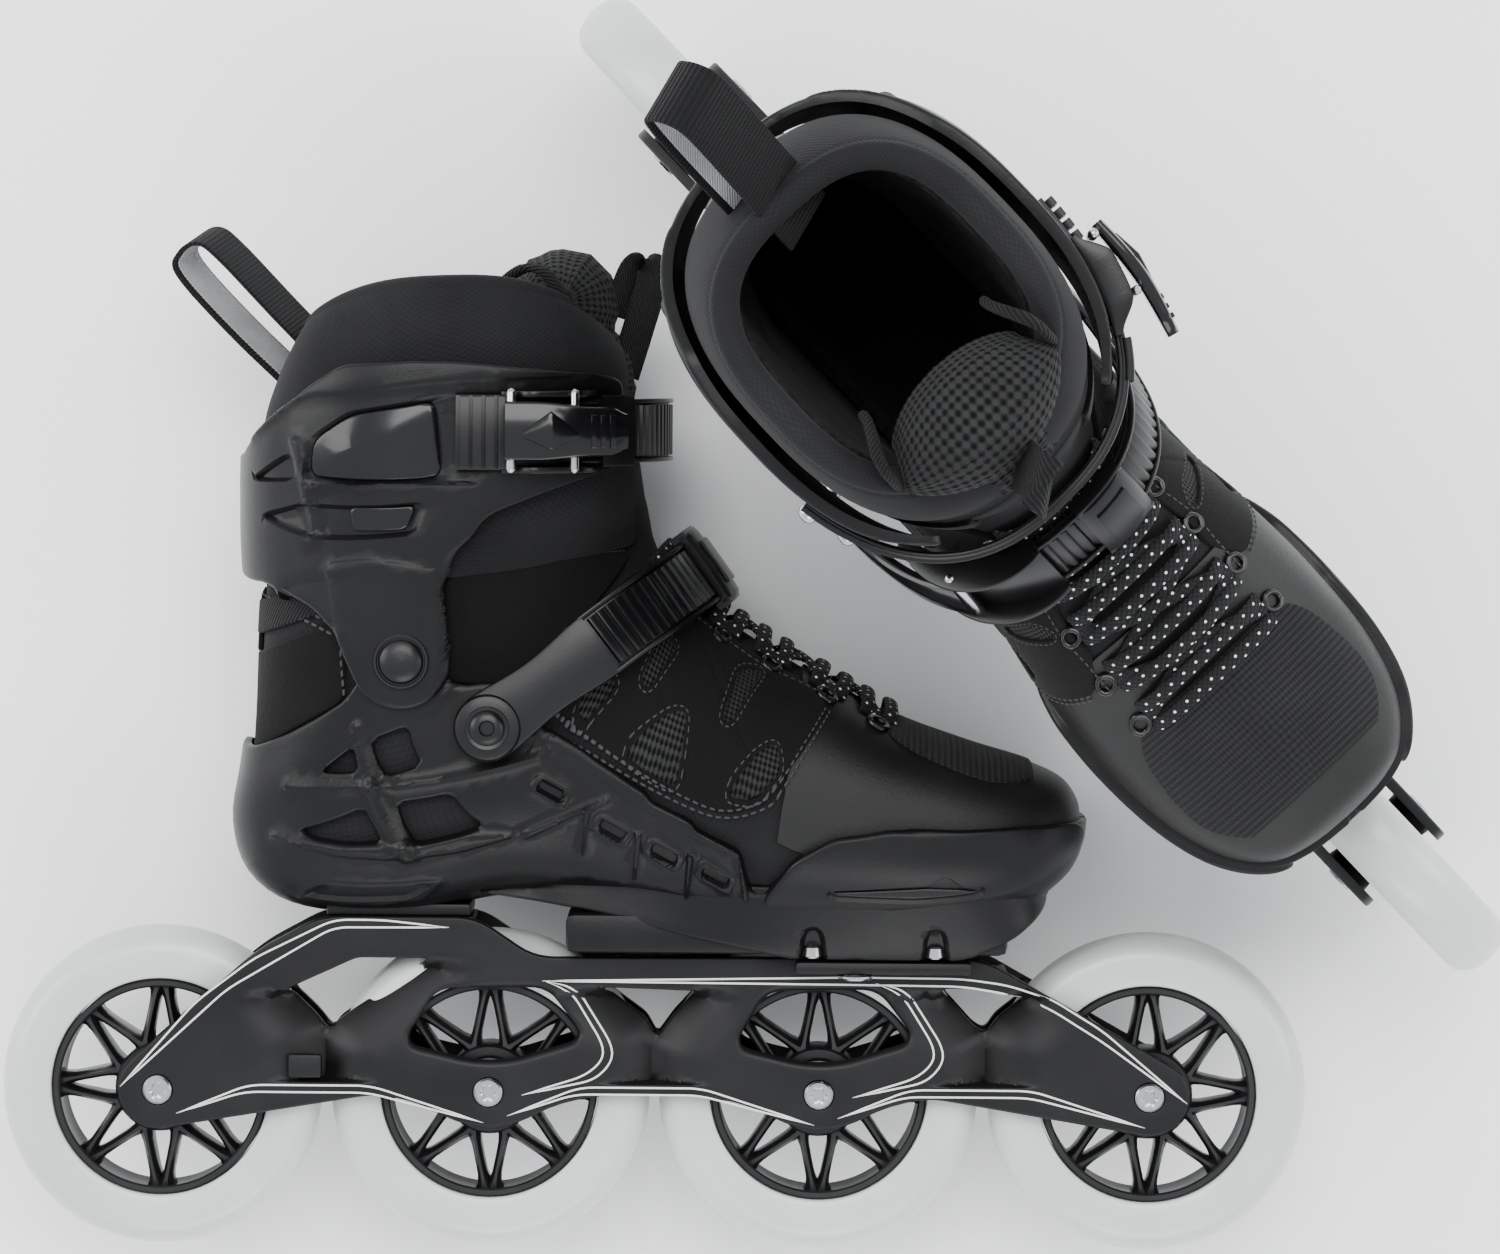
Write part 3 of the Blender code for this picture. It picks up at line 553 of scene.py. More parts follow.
def distance(points, line, closed=True, within=np.inf):
    """The distance from each point to the nearest place on a line; past within it only says 2 times
    within."""
    ends = (line, np.roll(line, -1, axis=0)) if closed else (line[:-1], line[1:])
    (ax, ay), (rx, ry) = ends[0].T, (ends[1] - ends[0]).T
    square = np.maximum(rx * rx + ry * ry, 1e-12)

    def nearest(batch):
        dx, dy = batch[:, :1] - ax, batch[:, 1:] - ay
        share = np.clip((dx * rx + dy * ry) / square, 0, 1)
        return np.sqrt(((dx - rx * share) ** 2 + (dy - ry * share) ** 2).min(axis=1))

    if not np.isfinite(within):
        return in_batches(points, nearest)
    found = np.full(len(points), 2.0 * within)
    near = np.all((points > line.min(axis=0) - within) & (points < line.max(axis=0) + within), axis=1)
    if near.any() and len(line) > 6 * POST_STEP:
        px, py = line[::POST_STEP].T
        gap = POST_STEP * np.sqrt(square.max())

        def to_post(batch):
            return np.hypot(batch[:, :1] - px, batch[:, 1:] - py).min(axis=1)

        near[near] = in_batches(points[near], to_post) < within + gap
    if near.any():
        found[near] = np.minimum(in_batches(points[near], nearest), 2.0 * within)
    return found


def depth_in(points, outline, within):
    """The distance to an outline up to within, positive inside it and negative outside."""
    return np.where(inside(points, outline), 1, -1) * distance(points, outline, within=within)


def smooth_step(value):
    value = np.clip(value, 0, 1)
    return value * value * (3 - 2 * value)


def shifted(outline, by):
    """A closed outline moved along its normals, to the left of its direction for a positive by."""
    run = np.roll(outline, -1, axis=0) - np.roll(outline, 1, axis=0)
    run /= np.maximum(np.linalg.norm(run, axis=1, keepdims=True), 1e-9)
    return outline + np.stack([-run[:, 1], run[:, 0]], axis=-1) * by


# %% A meshed plate
EDGE_STEP = 1.3
RIM_STEPS = (0.12, 0.35, 0.7, 1.0)


def net(loops, radii, spacing, edge_step, reliefs=()):
    """A triangulated net over the first loop less the others, with rings of points near every edge.

    Returns its points, its triangles, and for each point how far the rounding lowers it: at distance d
    from an edge of radius r, the fall is r - sqrt(r^2 - (r - d)^2)."""
    loops = [evenly(loop, edge_step, closed=True) for loop in loops]
    outer = loops[0]
    strewn = []
    for loop, radius in zip(loops, radii):
        for share in RIM_STEPS:
            for way in (-1, 1):
                ring = shifted(loop, way * share * radius)
                miss = distance(ring, loop, within=2 * radius) - share * radius
                strewn.append(ring[np.abs(miss) < 0.05 * radius])
    for outline, _, edge in reliefs:
        line = evenly(outline, edge_step * 1.3, closed=True)
        strewn += [line, shifted(line, edge), shifted(line, -edge)]
    low, high = outer.min(axis=0), outer.max(axis=0)
    columns, rows = (np.arange(low[k], high[k], spacing) for k in (0, 1))
    x, y = np.meshgrid(columns, rows, indexing="ij")
    y = y + (np.arange(len(columns)) % 2)[:, None] * spacing / 2
    grid = np.stack([x.ravel(), y.ravel()], axis=-1)
    for loop, radius in zip(loops, radii):
        reach = radius + spacing * 0.45
        grid = grid[distance(grid, loop, within=reach) > reach]
    for outline, _, edge in reliefs:
        reach = edge + spacing * 0.3
        grid = grid[distance(grid, evenly(outline, edge_step * 2, closed=True), within=reach) > reach]
    free = np.concatenate(strewn + [grid])
    keep = inside(free, outer)
    for loop in loops[1:]:
        keep &= ~inside(free, loop)
    clear = np.min([distance(free, loop, within=0.05) for loop in loops], axis=0) > 0.02
    free = free[keep & clear]
    edges, start = [], 0
    for loop in loops:
        index = np.arange(len(loop)) + start
        edges.append(np.stack([index, np.roll(index, -1)], axis=-1))
        start += len(loop)
    corners = np.concatenate(loops + [free])
    points, _, triangles, *_ = delaunay_2d_cdt(
        [Vector(p) for p in corners.tolist()], np.concatenate(edges).tolist(), [], 0, 1e-4)
    points = np.array([tuple(p) for p in points])
    triangles = np.array([t for t in triangles if len(t) == 3])
    middle = points[triangles].mean(axis=1)
    kept = inside(middle, outer)
    for loop in loops[1:]:
        kept &= ~inside(middle, loop)
    triangles = triangles[kept]
    a, b, c = (points[triangles[:, k]] for k in range(3))
    turn = (b[:, 0] - a[:, 0]) * (c[:, 1] - a[:, 1]) - (b[:, 1] - a[:, 1]) * (c[:, 0] - a[:, 0])
    triangles = np.where((turn < 0)[:, None], triangles[:, ::-1], triangles)[np.abs(turn) > 1e-9]
    fall = np.zeros(len(points))
    for loop, radius in zip(loops, radii):
        near = np.clip(1 - distance(points, loop, within=radius) / radius, 0, 1)
        fall = np.maximum(fall, radius * (1 - np.sqrt(1 - near**2)))
    return points, triangles, fall


def thicken(face, back, triangles):
    """A closed plate from a face, its back and the triangles of both; walls stand on every edge used
    once."""
    sides = np.concatenate([triangles[:, [0, 1]], triangles[:, [1, 2]], triangles[:, [2, 0]]])
    _, index, count = np.unique(np.sort(sides, axis=1), axis=0, return_inverse=True, return_counts=True)
    rim = sides[count[index.reshape(-1)] == 1]
    walls = np.stack([rim[:, 1], rim[:, 0], rim[:, 0] + len(face), rim[:, 1] + len(face)], axis=-1)
    return np.concatenate([face, back]), [triangles, triangles[:, ::-1] + len(face), walls]


def raised(points, reliefs):
    """The sum of the reliefs: each adds its height inside its outline and slopes down over its edge
    width."""
    height = np.zeros(len(points))
    for outline, step, edge in reliefs:
        height += step * smooth_step(depth_in(points, np.asarray(outline, float), edge) / (2 * edge) + 0.5)
    return height


print("plate tools ready")

# %% [markdown]
# ## The frame
# The frame is machined from aluminium: two side walls with windows over the middle wheels and gaps
# between the wheels, joined by bridges and by the plates that carry the boot. Between two wheels each
# wall curls inwards along the gap and drops in a sharp step behind the lower rail. That curl is a depth
# that grows as the square of how close a point is to the gap.

# %% Frame walls
FRAME_HALF, WALL = 18.5, 3.5
REAR_TOP, FRONT_TOP = 115.0, 102.0
AXLE_DIP = [(-37, 54.2), (-22, 50.5), (-11, 44.6), (0, 42.5), (11, 44.6), (22, 50.5), (37, 54.2)]
HUB_WINDOW = [(-29, 71.5), (-18, 90.3), (20, 91), (33, 73.8), (7.3, 66), (-5.4, 65.9)]
REAR_GAP = [(-125.6, 89.8), (-101.4, 100.9), (-76.8, 100.8), (-108.8, 78.3), (-111.1, 74.6), (-116.6, 81.3)]
MIDDLE_GAP = [(-18.4, 91.4), (-2.9, 80.2), (0.9, 73.4), (6.3, 81), (14.8, 90.3)]
FRONT_GAP = [(97.4, 91.6), (110, 92.1), (126.4, 88.1), (117.6, 81.2), (113.9, 75.7), (110.1, 77.7)]
LEDGE = 58.0
CURL_REACH, CURL_DEPTH = 21.0, 9.0


def arc(centre, radius, start, end, count):
    """Points round a centre from one angle to another, in degrees."""
    angle = np.radians(np.linspace(start, end, count))
    return np.stack([centre[0] + radius * np.cos(angle), centre[1] + radius * np.sin(angle)], axis=-1)


def wall_outline():
    outline = [tuple(p) for p in arc((WHEEL_XS[0], WHEEL_RADIUS), 13.5, 135, 290, 12)]
    for x in WHEEL_XS[1:3]:
        outline += [(x + dx, z) for dx, z in AXLE_DIP]
    outline += [tuple(p) for p in arc((WHEEL_XS[3], WHEEL_RADIUS), 13.5, 250, 405, 12)]
    outline += [(112, FRONT_TOP), (42, FRONT_TOP), (-41, FRONT_TOP - 0.5)]
    outline += [(-61, REAR_TOP), (-114, REAR_TOP), (-136, 103)]
    return round_corners(outline, 7)


def curl(points):
    """How far the wall is drawn in: deepest at a gap or at the notch under it, none on the rails."""
    drawn = np.zeros(len(points))
    for gap, centre, top in ((REAR_GAP, -113, 99.5), (MIDDLE_GAP, 0, 90.5), (FRONT_GAP, 113, 90.0)):
        notch = np.array([(centre, LEDGE), (centre, 77)], float)
        near = np.minimum(distance(points, np.array(gap, float)), distance(points, notch, closed=False))
        share = np.clip(1 - near / CURL_REACH, 0, 1) ** 2
        slope = np.interp(points[:, 0], [-126, -101.5, -90, 200], [89, 100, top, top])
        under = smooth_step((slope - points[:, 1]) / 2.0)
        drawn = np.maximum(drawn, share * under)
    return CURL_DEPTH * drawn * smooth_step((points[:, 1] - LEDGE) / 0.8)


def frame_wall():
    windows = [round_corners([(x + dx, z) for dx, z in HUB_WINDOW], 6) for x in WHEEL_XS[1:3]]
    gaps = [round_corners(gap, 2) for gap in (REAR_GAP, MIDDLE_GAP, FRONT_GAP)]
    bores = [arc((x, WHEEL_RADIUS), 5.2, 0, 345, 24) for x in WHEEL_XS]
    ledges = [([(x - 22, LEDGE + 0.4), (x - 22, LEDGE), (x + 22, LEDGE), (x + 22, LEDGE + 0.4)], 0, 0.5)
              for x in (-113, 0, 113)]
    loops = [wall_outline()] + windows + gaps + bores
    radii = [0.9] + [2.6] * 2 + [0.8] * 3 + [0.5] * 4
    return net(loops, radii, 2.6, EDGE_STEP, ledges)


wall_points, wall_triangles, wall_fall = frame_wall()
wall_curl = curl(wall_points)
wall_face = FRAME_HALF - wall_fall * (1 - 0.5 * (wall_curl > 0.5)) - wall_curl
wall_back = FRAME_HALF - WALL - wall_curl


def wall(side):
    """The wall's net laid at y on one side; its face is outwards."""
    face, back = (np.stack([wall_points[:, 0], side * y, wall_points[:, 1]], axis=-1)
                  for y in (wall_face, wall_back))
    triangles = wall_triangles if side < 0 else wall_triangles[:, ::-1]
    return thicken(face, back, triangles)


for side, label in SIDES:
    points, faces = wall(side)
    add_piece(f"frame_wall_{label}", points, faces, anodised, "skate", "frame_anodised",
              replaces=["frame"] if side < 0 else [], angle=50)
print("frame wall", len(points), "points each")


# %% Bridges, pads and mount plates of the frame
def slab(x, y, z, edge=0.8):
    """A block with chamfered edges: eight corners, each cut back by edge along all three axes."""
    x, y, z = (np.asarray(pair, float) for pair in (x, y, z))
    middle = np.array([pair.mean() for pair in (x, y, z)])
    half = np.array([(pair[1] - pair[0]) / 2 for pair in (x, y, z)])
    shape = bmesh.new()
    bmesh.ops.create_cube(shape, size=2)
    for vertex in shape.verts:
        vertex.co = Vector(np.array(vertex.co) * half + middle)
    bmesh.ops.bevel(shape, geom=shape.edges[:] + shape.verts[:], offset=edge, segments=2, profile=0.6,
                    affect="EDGES")
    bmesh.ops.triangulate(shape, faces=[f for f in shape.faces if len(f.verts) > 4])
    points = np.array([tuple(v.co) for v in shape.verts])
    index = [[v.index for v in f.verts] for f in shape.faces]
    shape.free()
    kinds = ([face for face in index if len(face) == corners] for corners in (3, 4))
    return points, [np.array(kind) for kind in kinds if kind]


def disc(centre, radius, low, high, sides, edge):
    """A round plate with chamfered rims, its axis along Z."""
    profile = [(radius - edge, high), (radius, high - edge), (radius, low + edge), (radius - edge, low)]
    points, faces = turned(capped([(0, high)] + profile + [(0, low)]), sides, closed=False)
    return points[:, [0, 2, 1]] * (1, -1, 1) + centre, faces


lap = FRAME_HALF - WALL + 0.4
bridges = [slab((-113, -62), (-lap, lap), (111, REAR_TOP - 0.2)), slab((-13, 13), (-lap, lap), (95, 101))]
bridges += [slab((104, 121), (-lap, lap), (93, 97)), slab((-121, -106), (-lap, lap), (103, 107))]
for side in (-1, 1):
    bridges.append(slab((48, 108), sorted((side * (lap - 1), side * 30.5)), (97.5, FRONT_TOP - 0.2), 1.6))
    bridges.append(slab((-124.8, -113.4), sorted((side * 15, side * 19.3)), (59.5, 67.6), 1.2))
bridges.append(slab((48, 108), (-lap, lap), (98.2, FRONT_TOP - 0.4)))
points, faces = joined(bridges)
add_piece("frame_bridges", points, faces, anodised, "skate", "frame_anodised")
BOSS_RING = [(5.3, 10.6), (7.6, 10.6), (8.4, 12.5), (8.8, 15.4), (5.3, 15.4)]
bosses = []
for x in WHEEL_XS:
    for side in (-1, 1):
        ring = [(radius, side * y) for radius, y in BOSS_RING]
        bosses.append(turned(ring[::-1] if side > 0 else ring, 32, (x, 0, WHEEL_RADIUS)))
points, faces = joined([(p, f[:, ::-1]) for p, f in bosses])
add_piece("frame_bosses", points, faces, anodised, "skate", "frame_anodised")
print("frame has", len(bridges), "bridges and pads and", len(bosses), "axle bosses")

# %% [markdown]
# ## Pinstripes
# Thin double lines are printed along the rails. Each is a ribbon as wide as the stroke, lying a few
# hundredths of a millimetre off the wall.


# %% White lines on the frame
def ribbon(line, width, lay):
    """A flat ribbon along a line in x and z: two edges width apart, laid on the wall by lay."""
    line = evenly(round_corners(line, 5, closed=False), 1.5)
    run = np.gradient(line, axis=0)
    run /= np.linalg.norm(run, axis=1, keepdims=True)
    across = np.stack([-run[:, 1], run[:, 0]], axis=-1)
    taper = np.clip(np.minimum(np.arange(len(line)), np.arange(len(line))[::-1]) / 6, 0.35, 1)[:, None]
    half = across * width * taper / 2
    return lay(np.stack([line - half, line + half], axis=1).reshape(-1, 2)), grid_faces(len(line), 2)


REAR_LINES = [[(-182.2, 56), (-156.6, 85.2), (-136.9, 100.2), (-109.5, 113.8), (-92.8, 113.8),
               (-70.1, 111.4)],
              [(-182.2, 56), (-146, 89.6), (-109.5, 111.2), (-70.1, 111.4)]]
LOW_LINES = [[(-50, 47), (-25.4, 57), (16.4, 57), (55, 44.6)],
             [(-50, 47), (-26.9, 54.6), (15.6, 54.6), (55, 44.6)]]
WINDOW_LINES = [[(19.1, 93.4), (29.6, 91.2), (42.3, 71.5), (42.3, 65.7), (36.5, 59.6), (11.5, 54.2)],
                [(19.1, 93.4), (28.0, 89.8), (39.2, 71.8), (39.2, 66.4), (33.2, 61), (11.5, 54.2)]]
RAIL_LINES = [[(-38.2, 93.4), (68.3, 95.4), (105.2, 95.2), (120.6, 93.2), (136, 88.2), (152.9, 78),
               (182.4, 53)],
              [(-38.2, 93.4), (68.3, 92.9), (105.2, 92.6), (120.6, 90.2), (136, 84.6), (152.9, 74.2),
               (182.4, 53)]]
stripe_lines = REAR_LINES + RAIL_LINES
stripe_lines += [[(x + shift, z) for x, z in line] for shift in (-113, 0, 113) for line in LOW_LINES]
stripe_lines += [[(x + shift, z) for x, z in line] for shift in WHEEL_XS[1:3] for line in WINDOW_LINES]
stripes = []
for side in (-1, 1):
    for line in stripe_lines:
        points, faces = ribbon(line, 0.62, lambda flat: np.stack(
            [flat[:, 0], side * (FRAME_HALF + 0.04 - curl(flat)), flat[:, 1]], axis=-1))
        stripes.append((points, faces if side < 0 else faces[:, ::-1]))
points, faces = joined(stripes)
add_piece("frame_pinstripes", points, faces, white_print, "skate", "frame_anodised")
print(len(stripes), "pinstripes")

# %% [markdown]
# ## The boot's skin
# Shell, cuff and boot all follow one foot-shaped surface, the skin. It is lofted through sections from
# the toe to the collar. Each section is a superellipse, squarer than an ellipse, between a point on the
# sole or heel and a point on the instep or shin, with one half-width on the outer side and one on the
# inner.

# %% Sections, skin and how to find a place on it
SKIN_POWER = 2.6
STATIONS = np.array([
    (144.8, 148.8, 145.0, 150.2, 2, 2),
    (143.2, 141, 143.6, 156.5, 17, 18),
    (138, 131.5, 138.5, 163, 28, 31),
    (124, 121.5, 126, 168.5, 38, 41),
    (104, 116.5, 106, 174.5, 43.5, 46.5),
    (76, 115.5, 80, 184, 45, 48),
    (46, 115.5, 57, 197, 44, 46),
    (16, 117, 34, 210.5, 41, 41),
    (-14, 120.5, 15, 223.5, 39, 38.5),
    (-47, 125, 2.5, 238, 38, 37.5),
    (-86, 118.6, -0.5, 243.5, 38, 37.5),
    (-120, 120, -1.5, 247, 38, 37.5),
    (-137, 130, -2, 250, 38, 37.5),
    (-142.5, 147, -2.5, 252.5, 38.5, 38),
    (-140, 166, -3, 255, 40, 39.5),
    (-137, 190, -3.5, 257, 42, 41.5),
    (-135, 222, -4.2, 260, 45, 44.5),
    (-134.8, 226, -6, 272, 46, 45.5),
    (-136, 250, -7.5, 287, 47.5, 47),
    (-134.5, 283, -11.5, 306, 49, 48.5),
    (-122.5, 315, -21, 319, 47, 46.5),
])
TOP_STATION = len(STATIONS) - 1.0


def sections(t):
    """The station values at parameters t, on a Catmull-Rom curve through the stations."""
    return catmull_rom(STATIONS, np.clip(np.asarray(t, float), 0, TOP_STATION - 1e-9))


def on_skin(t, angle):
    """Points of the skin: with p = 2.6, forward -|cos a|^(2/p) and sideways |sin a|^(2/p), each with its
    sign.

    Angle 0 is at the sole or heel and 180 degrees at the front; positive angles are on the inner
    side."""
    t, angle = np.broadcast_arrays(np.asarray(t, float), np.asarray(angle, float))
    values = sections(t)
    along = -np.sign(np.cos(angle)) * np.abs(np.cos(angle)) ** (2 / SKIN_POWER)
    across = np.sign(np.sin(angle)) * np.abs(np.sin(angle)) ** (2 / SKIN_POWER)
    middle, half = (values[..., 0:2] + values[..., 2:4]) / 2, (values[..., 2:4] - values[..., 0:2]) / 2
    place = middle + half * along[..., None]
    width = np.where(across < 0, values[..., 4], values[..., 5])
    return np.stack([place[..., 0], width * across, place[..., 1]], axis=-1)


def skin(t, angle, out=0.0):
    """The skin moved out along its normal, the cross product of its two directions."""
    step = 1e-3
    t, angle = np.broadcast_arrays(np.asarray(t, float), np.asarray(angle, float))
    lengthwise = on_skin(t + step, angle) - on_skin(np.clip(t - step, 0, TOP_STATION), angle)
    round_it = on_skin(t, angle + step) - on_skin(t, angle - step)
    normal = np.cross(lengthwise, round_it)
    normal /= np.maximum(np.linalg.norm(normal, axis=-1, keepdims=True), 1e-12)
    return on_skin(t, angle) + normal * np.asarray(out)[..., None]


def find(x, z):
    """The parameter and angle of the skin points seen at x and z from the side, by halving the range of
    t."""
    x, z = np.asarray(x, float), np.asarray(z, float)
    low, high = np.zeros(x.shape), np.full(x.shape, TOP_STATION)
    for _ in range(40):
        t = (low + high) / 2
        bx, bz, fx, fz = np.moveaxis(sections(t)[..., :4], -1, 0)
        ahead = (fx - bx) * (z - bz) - (fz - bz) * (x - bx) > 0
        low, high = np.where(ahead, t, low), np.where(ahead, high, t)
    along = ((fx - bx) * (x - bx) + (fz - bz) * (z - bz)) / ((fx - bx) ** 2 + (fz - bz) ** 2) * 2 - 1
    along = np.clip(along, -1, 1)
    return t, np.arccos(np.clip(-np.sign(along) * np.abs(along) ** (SKIN_POWER / 2), -1, 1))


# The flat pattern of the skin: u is length along the side line, and v is the angle times a mean radius.
PATTERN_RADIUS = 43.0
pattern_t = np.linspace(0, TOP_STATION, 401)
SIDE_LINE = 1.5
pattern_u = lengths_along(on_skin(pattern_t, SIDE_LINE))


def pattern(t, angle):
    return np.stack([np.interp(t, pattern_t, pattern_u), np.asarray(angle) * PATTERN_RADIUS], axis=-1)


def side_pattern(outline, side):
    """An outline in x and z, seen from the side, as it lies on the flat pattern of one side."""
    outline = np.asarray(outline, float)
    t, angle = find(outline[:, 0], outline[:, 1])
    return pattern(t, side * angle)


def from_pattern(points, out):
    """The flat pattern laid back on the skin, moved out by out."""
    return skin(np.interp(points[:, 0], pattern_u, pattern_t), points[:, 1] / PATTERN_RADIUS, out)


def skin_plate(name, loops, radii, low, high, material, reliefs=(), spacing=2.6, woven=False, **where):
    """A plate on the skin from low to high above it, whose outline, windows and reliefs lie on the flat
    pattern.

    A woven plate keeps its place on the flat pattern, in metres, as its UVs."""
    points, triangles, fall = net(loops, radii, spacing, EDGE_STEP, reliefs)
    face = from_pattern(points, high - fall + raised(points, reliefs))
    back = from_pattern(points, np.full(len(points), float(low)))
    points3, faces = thicken(face, back, triangles)
    where.setdefault("angle", 50)
    if woven:
        flat = np.concatenate([points, points]) * MM
        where["uv"] = [flat[part] for part in faces]
    return add_piece(name, points3, faces, material, **where)


print("pattern is", round(float(pattern_u[-1])), "mm long")

# %% [markdown]
# ## The shell
# The shell is injection-moulded glass-filled plastic. It cups the heel, carries the ankle pivots and the
# strap, and runs forward as a sole with a rand round the toes. Its side has four windows, split by an
# upright blade and a long rib, and a row of small slots along the arm.

# %% Shell outline, windows and ribs
CUFF_PIVOT = (-85.1, 203.5)
STRAP_ANCHOR = (-56.0, 181.5)
SHELL_HIGH, SHELL_LOW = 3.0, 0.1
RAND_TOP = [(141, 149.8), (122, 149), (105, 148.2), (80, 148.3), (60.2, 145.1), (47.1, 137.9), (37.5, 126)]
ARM_TOP = [(32.7, 127.1), (29.2, 140.6), (14, 148), (13, 150.5), (-1.2, 157.1), (-2.5, 160),
           (-17, 169), (-31.7, 178.8)]
HEEL_TOP = [(-104.2, 190), (-113, 184), (-124, 177.5), (-134.5, 173.2)]
SHELL_WINDOWS = [
    [(-112.2, 165.5), (-101.4, 174.1), (-100.1, 165.6)],
    [(-95.4, 176.5), (-83.4, 181.4), (-78.5, 168.2), (-90.5, 164.5)],
    [(-119.8, 145.6), (-97.6, 153.6), (-91.8, 142.2), (-113.2, 142.7)],
    [(-86.8, 155.5), (-68.8, 158.7), (-57.8, 147.9), (-80.7, 141.7)],
]
SLOT_CENTRES = [(-34.9, 160.4), (-13.8, 147.3), (3.7, 139.6), (21.2, 132.6)]
HEEL_SLOT = [(-118.5, 124.6), (-113.1, 128.4), (-75.7, 129.1), (-84.1, 124.2)]


def bar(start, end, wide_start, wide_end=None, bow=0.0):
    """The outline of a straight or bowed bar between two points, with a width at each end."""
    wide_end = wide_start if wide_end is None else wide_end
    start, end = np.array(start, float), np.array(end, float)
    share = np.linspace(0, 1, 9)[:, None]
    run = (end - start) / np.linalg.norm(end - start)
    across = np.array([-run[1], run[0]])
    line = start + (end - start) * share + across * bow * 4 * share * (1 - share)
    half = across * (wide_start + (wide_end - wide_start) * share) / 2
    return np.concatenate([line - half, (line + half)[::-1]])


def shell_outline():
    sides = []
    for side in (-1, 1):
        edge = [*HEEL_TOP[::-1], *arc(CUFF_PIVOT, 11.5, 190, 0, 12), (-70, 197), (-63.8, 195.3)]
        edge += [*arc(STRAP_ANCHOR, 15, 100, 8, 6), *ARM_TOP[::-1], *RAND_TOP[::-1]]
        sides.append(side_pattern(round_corners(edge, 3, closed=False), side))
    toe = pattern(np.array([0.02, 0.02]), np.radians([-100.0, 100.0]))
    heel = pattern(np.array([14.4]), np.array([0.0]))
    return np.concatenate([heel, sides[0], toe, sides[1][::-1]])


def shell_reliefs(side):
    """Ribs stand out, slots and the arch go in. Each is an outline, a height and an edge width."""
    shapes = [
        (bar((-101.0, 181.5), (-81.8, 137.0), 2.4, 4.6, -2.5), 2.6, 1.2),
        (bar((-124.0, 161.0), (-37.0, 172.6), 2.0, 3.0, -4.0), 1.7, 1.0),
        (round_corners([(-132, 145), (-118, 140.2), (-92, 137), (-68, 139.6), (-44, 146.6), (-68, 147),
                        (-92, 141.4), (-118, 143.4)], 6), 1.9, 1.1),
        (bar((-44, 146), (-15, 157.5), 2.6, 1.4), 1.8, 0.9),
        (round_corners(HEEL_SLOT, 2), -1.6, 0.5),
        (round_corners([(-122, 123), (-115, 130.2), (-71, 131), (-81, 122.4)], 3), 0.7, 0.5),
        (round_corners([(-62, 118), (-45.8, 126.2), (-26.4, 130.4), (0, 127.5), (38, 119), (38, 112),
                        (-62, 112)], 8), -1.6, 1.6),
        (round_corners([(-108, 196), (-100, 187), (-76, 186), (-66, 196), (-70, 222), (-104, 222)], 8),
         0.6, 1.2),
        (round_corners([(-48, 188), (-30, 180.5), (-1, 158.5), (29, 142.5), (30, 139), (-2, 153.5),
                        (-32, 173), (-46, 181)], 3), 1.0, 0.6),
    ]
    for x, z in SLOT_CENTRES:
        slot = bar((x - 4.2, z + 2.2), (x + 4.2, z - 2.2), 3.4)
        lip = bar((x - 6, z + 3.2), (x + 6, z - 3.2), 6.2)
        shapes += [(round_corners(slot, 1.2), -2.0, 0.4), (round_corners(lip, 2), 0.7, 0.4)]
    for x, z in SLOT_CENTRES[1:]:
        shapes.append((bar((x - 8.5, z + 7), (x - 10, z - 8), 1.8, 0.9), 1.3, 0.5))
    shapes.append((bar((29.8, 139), (31.6, 124), 1.6), 1.2, 0.5))
    return [(side_pattern(outline, side), height, edge) for outline, height, edge in shapes]


shell_loops = [shell_outline()]
shell_radii = [1.2]
shell_shapes = []
for side in (-1, 1):
    for window in SHELL_WINDOWS:
        shell_loops.append(side_pattern(round_corners(window, 2.5), side))
        shell_radii.append(1.1)
    shell_shapes += shell_reliefs(side)
skin_plate("shell", shell_loops, shell_radii, SHELL_LOW, SHELL_HIGH, shell_plastic, shell_shapes,
           body="skate", slot="shell_plastic", replaces=["shell"])
print("shell has", made_pieces["shell"], "points")

# %% Toe rand and mount skirt
rand_bottom = [(37.5, 122.5), (68.9, 122.2), (95, 125), (112.2, 127.4), (128, 131), (139, 139), (142.2, 146)]
rand_outline = RAND_TOP[::-1] + rand_bottom[::-1]
slot_line = [(58.5, 129.2), (60, 126.9), (88, 126.2), (110, 128.6), (110.5, 131.4), (104, 130.6),
             (98, 134), (92, 131.2)]
insert_line = [(60.5, 128.6), (61.5, 127.7), (88, 127.0), (109, 129.3), (104, 129.9), (92, 130.2)]
MOUNT_HALF = 31.0
MOUNT_BOLTS = (53.8, 95.4)
for side, label in SIDES:
    outline = side_pattern(round_corners(rand_outline, 3), side)[::side]
    slot_loop = side_pattern(round_corners(slot_line, 1.2), side)
    skin_plate(f"toe_rand_{label}", [outline], [1.4], 2.0, 4.6, shell_plastic, [(slot_loop, -1.5, 0.5)],
               body="skate", slot="shell_plastic")
    insert = side_pattern(round_corners(insert_line, 0.8), side)
    skin_plate(f"toe_insert_{label}", [insert], [0.5], 2.6, 3.9, gloss_plastic, spacing=2, body="skate",
               slot="strap_plastic")


